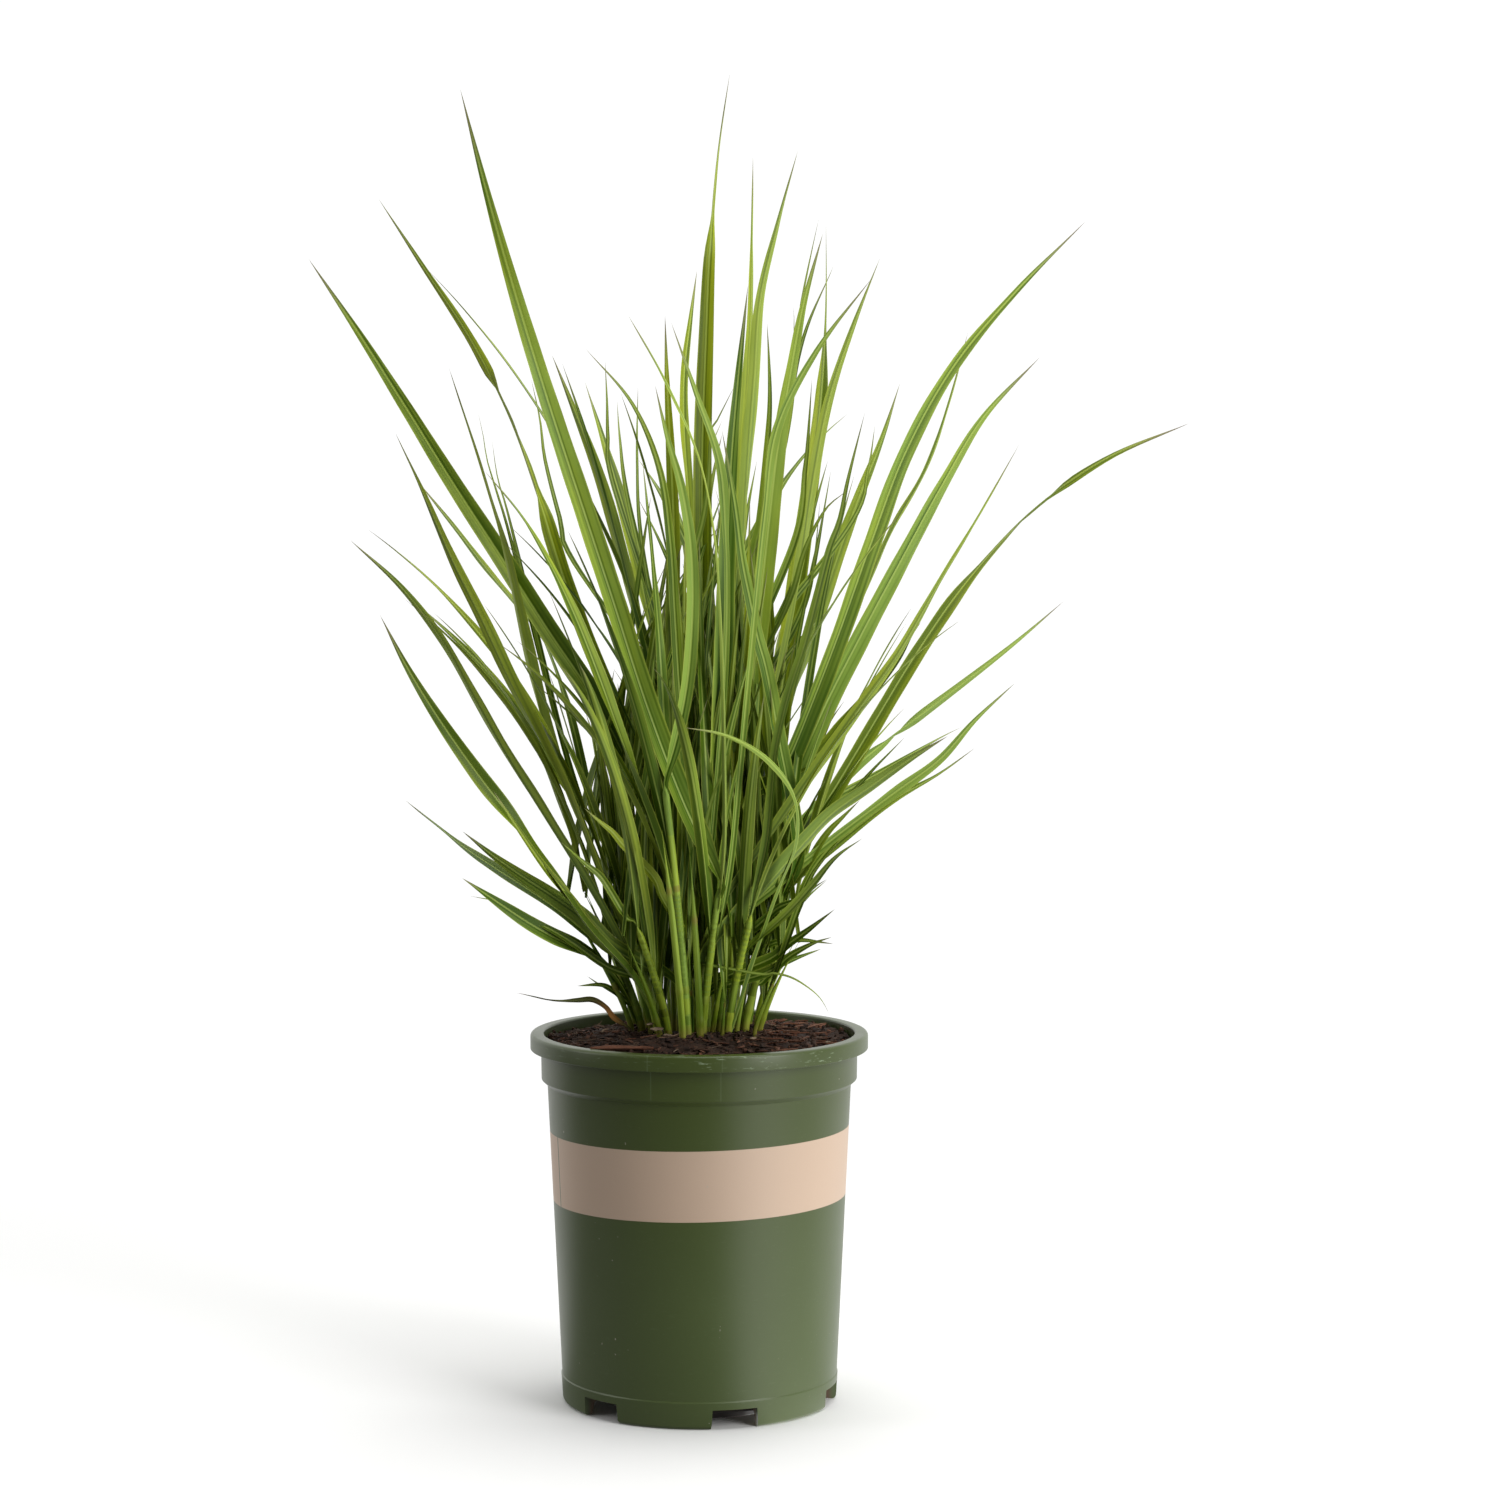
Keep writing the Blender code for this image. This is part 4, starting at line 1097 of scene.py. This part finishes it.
def turned(profile, steps):
    angles = np.linspace(0, 2 * np.pi, steps, endpoint=False)
    points, faces, before = [], [], None
    for radius, height in profile:
        start = len(points)
        if radius < 1e-6:
            points.append((0, 0, height))
            ring = [start] * steps
        else:
            points += [(radius * math.cos(a), radius * math.sin(a), height) for a in angles]
            ring = list(range(start, start + steps))
        if before:
            for j in range(steps):
                k = (j + 1) % steps
                faces.append(tuple(dict.fromkeys((before[j], ring[j], ring[k], before[k]))))
        before = ring
    return np.array(points), faces


def rounded(corners, steps=5):  # corners of (radius, height, fillet) in millimetres
    profile = []
    for k, (radius, height, fillet) in enumerate(corners):
        here = np.array((radius, height))
        if not fillet:
            profile.append(here * mm)
            continue
        back, on = (unit(np.array(corners[j][:2]) - here) for j in (k - 1, k + 1))
        half = math.acos(np.clip(back @ on, -1, 1)) / 2
        centre = here + unit(back + on) * fillet / math.sin(half)
        start, end = (here + way * fillet / math.tan(half) - centre for way in (back, on))
        turns = [unit(start * (1 - t) + end * t) for t in np.linspace(0, 1, steps + 1)]
        profile += [(centre + turn * fillet) * mm for turn in turns]
    return profile


# the pot: each corner is a radius, a height and a fillet, in millimetres

potPlan = {
    "steps": 192,
    "corner": 35,
    "inside": (
        (0, 1.5, 0), (44.25, 1.5, 1), (47.25, 7.5, 1), (62.7, 7.5, 1), (66, 13.5, 1.5),
        (72.7, 156, 1), (75.6, 158.5, 1), (75.9, 181, 1),
    ),
    "outside": (
        (82.5, 181, 1.6), (82.5, 173.2, 0.4), (81, 173.2, 0.3), (81, 179.5, 0.6), (77.4, 179.5, 0.6),
        (77.1, 158.5, 0.7), (74.2, 156, 0.6), (67.5, 13.5, 0.3), (67.9, 12.9, 0.3), (67.1, 0, 2.2),
        (62.7, 0, 0.8), (61.2, 6, 1), (48, 6, 1), (45, 0, 1), (0, 0, 0),
    ),
    "notches": 6,
    "notchAngle": 15.4,
    "notch": (22, 24.2, 9.5),  # width above and at the floor, height
    "notchReach": (58, 74),
    # the plastic low and high on the pot, painted darker towards the top as painted shade
    "lowPlastic": (0.070, 0.098, 0.029),
    "highPlasticShaded": (0.048, 0.070, 0.011),
    # the colour of scrapes, and of the painted highlight on the lip
    "scuffAndGleam": (0.20, 0.26, 0.15),
    "dust": (0.45, 0.42, 0.34),
    "roughness": 0.36,
    "band": (0.56, 0.415, 0.305),
    "bandHeights": (100.5 * mm, 134.5 * mm),
    "bandTilt": 1.1,
    "bandSoft": 0.12 * mm,
    "bandRadius": 71,
    "wallDraft": 6.7 / 142.5,
    "skin": 66.1 * mm,  # between the wall's two faces, brought down to the floor along the draft
    "seamAngle": -68.5,
    "seamHalf": 0.45 * mm,
    "mouldLines": (-16.4, 8.3),
    "mouldLine": (77, 0.15 * mm, 0.4 * mm),  # the radius of the wall there, and where a line's side lies
    "collar": (158 * mm, 160 * mm),
    "lip": (172 * mm, 174 * mm),
    "cloud": (28, 4, 0.6),
    "grain": (900, 2),
    "scrape": (14, 900, 40),  # scrapes run round the pot: how fast they change about it, up and out
    "scuffAndGleamPlaces": ((13, 0.12), (48, 0.05)),  # where the lip is scraped: angle, half the stretch in radians; the first, at 13 degrees, is also a painted highlight where the lip gleams
    "stain": (0.110, 0.070, 0.045),  # soil that has washed out through the drain notches
    "stainEnd": (62.5 * mm, 66.2 * mm),
    # near-black in the recess under the pot: painted shade, with soil dirt
    "soakedAndShaded": (0.012, 0.008, 0.006),
    "soakedAndShadedFrom": (44 * mm, 45 * mm),
    "soakedAndShadedTo": (58.5 * mm, 61 * mm),
    "groove": (9.7 * mm, 10.5 * mm),
    "bump": (0.25, 0.1 * mm),
    "specular": 0.5,
}


def potPaint(tree):
    plan = potPlan
    place = objectPlace(tree)
    x, y, z = place.parts()
    radius, angle = roundAxis(x, y)
    low, high = plan["bandHeights"]
    soft = plan["bandSoft"]
    level = z - x * math.tan(math.radians(plan["bandTilt"]))
    outer = (radius - z * plan["wallDraft"]).past(plan["skin"], 0.3 * mm)
    seam = abs((angle - math.radians(plan["seamAngle"])) * plan["bandRadius"] * mm)
    band = level.past(low, soft) * (1 - level.past(high, soft)) * outer * seam.past(plan["seamHalf"], soft)

    cloud, grain = place.noise(*plan["cloud"]), place.noise(*plan["grain"])
    about, up, out = plan["scrape"]
    scrapes = (angle * about).vector(z * up, radius * out).noise(1, 3, 0.65).above(0.60, 0.72)
    # the scraped places; at the first, 13 degrees round, the lip is painted lighter where it gleams, a
    # painted highlight
    near = sum(1 - abs(angle - math.radians(at)).above(half, half + 0.2) for at, half in plan["scuffAndGleamPlaces"])
    lip = z.above(*plan["lip"])
    wall, inner, edge = plan["mouldLine"]
    lines = sum(1 - abs((angle - math.radians(at)) * wall * mm).above(inner, edge)
                for at in plan["mouldLines"])
    wearAndGleam = (scrapes * (near * lip * 0.9 + lip * 0.25 + 0.06)
            + lines * z.above(*plan["collar"]) * cloud * 0.35)
    dust = place.noise(420, 1).above(0.77, 0.80) * cloud.above(0.5, 0.65) * 0.7
    drains = ((angle - math.radians(plan["notchAngle"])) * plan["notches"] + math.pi / 2).sine()
    under = 1 - z.above(*plan["groove"])
    stain = drains.above(-0.3, 0.4) * under * (1 - radius.above(*plan["stainEnd"])) * (0.6 + cloud * 0.7)
    # painted shade: the recess under the pot between these radii is near-black, with soil dirt
    soakedAndShaded = under * radius.above(*plan["soakedAndShadedFrom"]) * (1 - radius.above(*plan["soakedAndShadedTo"]))

    shade = (cloud - 0.5) * 0.35 + (grain - 0.5) * 0.12 + 0.5
    # painted shade: the plastic darkens from 40 mm up to 175 mm
    plasticShadedUp = z.above(40 * mm, 175 * mm).between(plan["lowPlastic"], plan["highPlasticShaded"])
    green = shade.between(plasticShadedUp.times((0.86, 0.86, 0.86)), plasticShadedUp.times((1.14, 1.14, 1.14)))
    darkBand, lightBand = (tuple(part * gain for part in plan["band"]) for gain in (0.95, 1.04))
    colour = green.to(plan["scuffAndGleam"], wearAndGleam).to(shade.between(darkBand, lightBand), band)
    colour = colour.to(plan["dust"], dust).to(plan["stain"], stain).to(plan["soakedAndShaded"], soakedAndShaded)
    rough = plan["roughness"] + (cloud - 0.5) * 0.12 + band * 0.16 + wearAndGleam * 0.3 + dust * 0.3 + stain * 0.5
    height = grain * 0.5 + place.noise(120, 3) + wearAndGleam + band * 0.5
    return surface(tree, colour, rough, height, *plan["bump"], plan["specular"])


def addPot():
    plan = potPlan
    points, faces = turned(rounded(plan["inside"] + plan["outside"]), plan["steps"])
    body = addObject("turnedPot", newMesh("turnedPot", points.tolist(), faces))
    blocks = bmesh.new()
    inner, outer = plan["notchReach"]
    above, below, height = plan["notch"]
    for k in range(plan["notches"]):
        angle = math.radians(plan["notchAngle"]) + k * 2 * math.pi / plan["notches"]
        for vert in bmesh.ops.create_cube(blocks, size=1)["verts"]:
            up = vert.co.z > 0
            out = (inner + outer) / 2 + vert.co.y * (outer - inner)
            aside = vert.co.x * (above if up else below)
            vert.co = (
                (math.sin(angle) * out + math.cos(angle) * aside) * mm,
                (math.sin(angle) * aside - math.cos(angle) * out) * mm,
                (height if up else -height) * mm,
            )
    bmesh.ops.recalc_face_normals(blocks, faces=blocks.faces)
    cutter = addObject("notchBlocks", newMesh("notchBlocks", [], []))
    blocks.to_mesh(cutter.data)
    blocks.free()
    cut = body.modifiers.new("notches", "BOOLEAN")
    cut.operation = "DIFFERENCE"
    cut.object = cutter
    finished = bpy.data.meshes.new_from_object(body.evaluated_get(bpy.context.evaluated_depsgraph_get()))
    for used in (body, cutter):
        bpy.data.objects.remove(used)
    finished.materials.clear()
    finished.materials.append(newMaterial("potPlastic", potPaint))
    addPiece("nurseryPot", finished, ["pot"], plan["corner"])


# the soil: its surface is fine lumps, and bark, fibres and grains lie on it

soilPlan = {
    "seed": 23,
    "steps": 400,
    "rings": 130,
    "edge": 75.2,
    "slope": ((0, 181.8), (34, 181.6), (47, 180), (60, 177.5), (75.2, 176)),
    "below": ((75.2, 158.6), (72.3, 156.4), (65.6, 13.9), (62.3, 7.9), (46.9, 7.9), (43.8, 1.9), (0, 1.9)),
    "lumps": ((13, 3.2), (6, 2.2), (2.8, 1.3), (1.3, 0.7)),  # size across, height
    "crown": (20, 40),  # lumps are lower up to here, and whole from here
    "dark": (0.018, 0.010, 0.007),
    "mid": (0.060, 0.030, 0.018),
    "red": (0.155, 0.060, 0.032),
    "pale": (0.330, 0.250, 0.170),
    "coarse": (160, 4, 0.65),
    "fine": (900, 3, 0.6),
    "strand": (1.6, 0.15, 40),  # how fast strands change across and along a shred, and with its hue
    "roughness": 0.88,
    "bump": (0.7, 0.4 * mm),
    "specular": 0.25,
    "bedLook": (0.15, 0.35, 0),
    "around": (24, 74),  # how far from the middle things lie
    "chips": {
        "count": 520, "long": (3, 11), "torn": (0.6, 1.3), "wide": (0.8, 2.6), "thick": (0.5, 1.3),
        "hues": (25, 1.3, 0.8),  # to the right of this they are redder, and less so to the left
        "light": (0.1, 0.9), "lift": 0.5, "tilt": 0.16,
    },
    "shreds": {  # the long reddish ones at the right, which mostly point outwards
        "count": 46, "around": (36, 66), "astray": 0.4, "long": (9, 20), "wide": (0.9, 2), "thick": 0.8,
        "looks": ((0.6, 1), (0.5, 1)), "lift": 1.2, "tilt": 0.05,
    },
    "fibres": {
        "count": 420, "long": (4, 16), "bow": (-0.8, 0.8), "rise": (0, 0.35), "lift": 0.7,
        "thick": (0.08, 0.24), "taper": (1, 1, 1, 0.95, 0.85, 0.7, 0.3),
        "looks": ((0, 0.9), (0.3, 1.25)),
    },
    "grains": {
        "count": 900, "size": (0.35, 1.5), "shape": (0.6, 1.3), "knobs": 0.22, "lift": 0.4,
        "looks": ((0, 0.7), (-0.1, 0.8)),
    },
    "specks": {"count": 26, "size": 0.45, "look": (0.1, 2, 0)},  # the first grains are pale specks
    "bits": (  # what lies in front one by one: pixel in the view, depth, heading in degrees, size, hue, light
        ((622, 1048), -55, 3, (30, 4.2, 2.6), 0.75, 0.7),
        ((604, 1030), -28, 75, (11, 1.0, 0.9), 0.05, 1.15),
        ((600, 1026), -26, 130, (8, 0.8, 0.8), 0.05, 1.05),
        ((657, 1029), -30, 20, (7, 3.2, 1.2), 0.25, 1.45),
        ((650, 1024), -27, 60, (6, 2.4, 1.0), 0.35, 1.35),
        ((668, 1035), -36, -30, (5, 2.0, 1.0), 0.10, 1.60),
        ((753, 1038), -42, 35, (4, 1.6, 0.8), 0.10, 1.70),
        ((828, 1042), -30, 10, (3, 1.0, 0.6), 0.05, 1.80),
    ),
}


def lumps(x, y, cell, seed):  # smooth noise from 0 to 1 over the plane
    grid = np.random.default_rng(seed).random((256, 256))
    u, v = x / cell + 100, y / cell + 100
    i, j = np.floor(u).astype(int), np.floor(v).astype(int)
    f, g = ease(u - i), ease(v - j)
    a, b, c, d = (grid[(i + m) % 256, (j + n) % 256] for m, n in ((0, 0), (1, 0), (0, 1), (1, 1)))
    return (a * (1 - f) + b * f) * (1 - g) + (c * (1 - f) + d * f) * g


def soilHeight(x, y):  # millimetres
    plan = soilPlan
    radius = np.hypot(x, y)
    slope = np.array(plan["slope"])
    height = np.interp(radius, slope[:, 0], slope[:, 1])
    start, end = plan["crown"]
    share = 0.4 + 0.6 * ease((radius - start) / (end - start))
    for k, (cell, tall) in enumerate(plan["lumps"]):
        height = height + (lumps(x, y, cell, plan["seed"] + k) - 0.5) * tall * share
    return height


def soilPaint(tree):
    plan = soilPlan
    place = objectPlace(tree)
    hue, light, _ = attribute(tree, "look")
    across, along, _ = attribute(tree, "where")
    coarse, fine = place.noise(*plan["coarse"]), place.noise(*plan["fine"])
    aside, on, other = plan["strand"]
    strands = (across * aside).vector(along * on, hue * other).noise(1, 3)
    level = (coarse - 0.5) * 1.2 + (fine - 0.5) * 0.9 + (strands - 0.5) * 0.9 + light
    colour = level.between(plan["dark"], plan["mid"])
    colour = colour.to(plan["red"], hue.above(0.3, 1) * level.above(0.1, 0.9))
    colour = colour.to(plan["pale"], light.above(0.8, 1.4) * strands.above(0.2, 0.8))
    rough = plan["roughness"] + (fine - 0.5) * 0.2
    height = fine * 0.6 + coarse + strands * 0.6
    return surface(tree, colour, rough, height, *plan["bump"], plan["specular"])


def growChip(growth, spot, heading, size, look, rng, tilt=0, stations=6):  # a torn shred of bark
    long, wide, thick = size
    t = np.linspace(-0.5, 0.5, stations)
    ahead = toward(heading, tilt)
    side = np.array((-math.sin(heading), math.cos(heading), rng.uniform(-0.5, 0.5)))
    up = unit(np.cross(ahead, side))
    bend = rng.uniform(-0.15, 0.15) * long
    ends = np.clip((0.5 - abs(t)) * 5, 0.12, 1)
    rows = []
    line = spot + np.outer(t * long, ahead)
    for k in range(6):
        angle = k * math.pi / 3
        rough = np.array([rng.uniform(0.65, 1.25) for _ in t])
        out = wide / 2 * math.cos(angle) * ends * rough
        lift = thick / 2 * math.sin(angle) * (0.5 + 0.5 * ends) * rough
        rows.append(line + np.outer(out + bend * 4 * t**2, side) + np.outer(lift, up))
    points = np.stack(rows, 1).reshape(-1, 3) * mm
    count = stations * 6
    faces = ringFaces(stations, 6) + [tuple(range(5, -1, -1)), tuple(range(count - 6, count))]
    where = np.stack([np.tile(np.arange(6) * wide / 3, stations), np.repeat(t * long, 6), np.zeros(count)], 1)
    growth.add(points, faces, where, look, np.zeros((count, 3)), 0)


def insideRim(spot, heading, long):
    half = toward(heading)[:2] * (long / 2)
    return max(np.linalg.norm(spot[:2] + way) for way in (half, -half)) < soilPlan["edge"] - 1


def scatterSpot(rng, inner, outer):
    while True:
        x, y = rng.uniform(-outer, outer), rng.uniform(-outer, outer)
        if inner < math.hypot(x, y) < outer:
            return np.array((x, y, soilHeight(x, y)))


def layBed(paint):
    plan = soilPlan
    crust = [(radius * mm, 0) for radius in np.linspace(0, plan["edge"], plan["rings"])]
    below = [(radius * mm, z * mm) for radius, z in plan["below"]]
    points, faces = turned(crust + below, plan["steps"])
    flat = np.stack([points[:, 0] / mm, points[:, 1] / mm, np.zeros(len(points))], 1)
    top = points[:, 2] == 0
    points[top, 2] = soilHeight(flat[top, 0], flat[top, 1]) * mm
    bed = Growth()
    bed.add(points, [face[::-1] for face in faces], flat, plan["bedLook"], np.zeros((len(points), 3)), 0)
    bed.piece("soilBed", "soil", ["soil"], [paint])


def layBark(paint, rng):
    plan, chips, shreds = soilPlan, soilPlan["chips"], soilPlan["shreds"]
    bark = Growth()
    redFrom, redder, less = chips["hues"]
    for _ in range(chips["count"]):
        spot = scatterSpot(rng, *plan["around"])
        long = rng.uniform(*chips["long"]) * rng.uniform(*chips["torn"])
        size = (long, rng.uniform(*chips["wide"]), rng.uniform(*chips["thick"]))
        hue = rng.uniform(0, 1) * (redder if spot[0] > redFrom else less)
        look = (hue, rng.uniform(*chips["light"]), 0)
        heading = rng.uniform(0, math.pi)
        if insideRim(spot, heading, long):
            tilt = rng.gauss(0, chips["tilt"])
            growChip(bark, spot + (0, 0, chips["lift"]), heading, size, look, rng, tilt)
    for _ in range(shreds["count"]):
        x, y, _ = scatterSpot(rng, *shreds["around"])
        spot = np.array((abs(x), y, soilHeight(abs(x), y) + shreds["lift"]))
        heading = math.atan2(y, abs(x)) + rng.gauss(0, shreds["astray"])
        long = rng.uniform(*shreds["long"])
        look = (*draws(rng, shreds["looks"]), 0)
        if insideRim(spot, heading, long):
            size = (long, rng.uniform(*shreds["wide"]), shreds["thick"])
            growChip(bark, spot, heading, size, look, rng, shreds["tilt"])
    for pixel, depth, heading, size, hue, light in plan["bits"]:
        spot = sightPoint(pixel, depth * mm) / mm
        growChip(bark, spot, math.radians(heading), size, (hue, light, 0), rng, 0, 14)
    bark.piece("barkShreds", "soil", [], [paint])


def layFines(paint, rng):
    plan, fibres, grains, specks = soilPlan, soilPlan["fibres"], soilPlan["grains"], soilPlan["specks"]
    fines = Growth()
    for _ in range(fibres["count"]):
        spot = scatterSpot(rng, *plan["around"])
        heading, long = rng.uniform(0, 2 * math.pi), rng.uniform(*fibres["long"])
        bow, rise = rng.uniform(*fibres["bow"]), rng.uniform(*fibres["rise"])
        if not insideRim(spot, heading, long):
            continue
        line = []
        for t in np.linspace(-0.5, 0.5, len(fibres["taper"])):
            way = heading + bow * t
            lift = fibres["lift"] + (t + 0.5) ** 2 * rise * long * 0.6
            line.append((spot + (math.cos(way) * t * long, math.sin(way) * t * long, lift)) * mm)
        radii = rng.uniform(*fibres["thick"]) * mm * np.array(fibres["taper"])
        growTube(fines, line, radii, (*draws(rng, fibres["looks"]), 0), 0, 5)
    ball = bmesh.new()
    bmesh.ops.create_icosphere(ball, subdivisions=2, radius=1)
    shape = np.array([vert.co for vert in ball.verts])
    ballFaces = [tuple(vert.index for vert in face.verts) for face in ball.faces]
    ball.free()
    for k in range(grains["count"]):
        spot = scatterSpot(rng, *plan["around"])
        size = rng.uniform(*grains["size"]) * np.array(draws(rng, [grains["shape"]] * 3))
        waves = shape @ np.array(draws(rng, [(-5, 5)] * 3)) + rng.uniform(0, 6)
        knobs = 1 + grains["knobs"] * np.sin(waves)
        look = (*draws(rng, grains["looks"]), 0)
        if k < specks["count"]:
            size, look = size * specks["size"], specks["look"]
        grain = (shape * knobs[:, None] * size + spot + (0, 0, grains["lift"])) * mm
        fines.add(grain, ballFaces, shape, look, np.zeros((len(shape), 3)), 0)
    fines.piece("fibresAndGrains", "soil", [], [paint])


def addSoil():
    paint = newMaterial("barkMix", soilPaint)
    rng = random.Random(soilPlan["seed"])
    layBed(paint)
    layBark(paint, rng)
    layFines(paint, rng)
    print("soil laid")


# the withered blade over the left of the rim

dryPlan = {
    "seed": 3,
    "root": (3 * mm, -1 * mm, -2.5 * mm),  # from where the CAD's blade starts
    "width": 2.8 * mm,
    "look": (0.5, 0.4, 0),
    "stations": 72,
    "twist": 1.1,
    "bend": (0.24, 0.10),  # where it is orange-brown: share of its length, and half of the stretch
    "skin": {
        "cool": (0.075, 0.100, 0.022), "warm": (0.120, 0.125, 0.030), "under": (0.110, 0.120, 0.040),
        "coolDeep": (0.030, 0.045, 0.010), "warmDeep": (0.050, 0.048, 0.012),
        "midrib": (0.150, 0.160, 0.050), "margin": (0.110, 0.090, 0.030), "marginShare": 0.35,
        "tip": (0.200, 0.070, 0.040), "straw": (0.420, 0.190, 0.050),
        "veinPitch": 0.6, "roughness": 0.75,
    },
}


def addDryBlade():
    plan = dryPlan
    centres, faces, _ = readBlade("dry_leaf")
    middle, half = plan["bend"]
    brown = np.exp(-((np.arange(plan["stations"]) / plan["stations"] - middle) / half) ** 2)
    growth = Growth()
    growBlade(growth, [centres[0] + plan["root"], *centres], [faces[0], *faces], plan["width"], plan["look"],
              random.Random(plan["seed"]), stations=plan["stations"], twist=plan["twist"], marks=brown)
    skin = newMaterial("dryBladeSkin", grassSkin(plan["skin"]))
    growth.piece("dryBlade", "dry_leaf", ["dry_leaf"], [skin])


addCamera()
addStudio()
addPot()
addSoil()
growPlant()
addDryBlade()
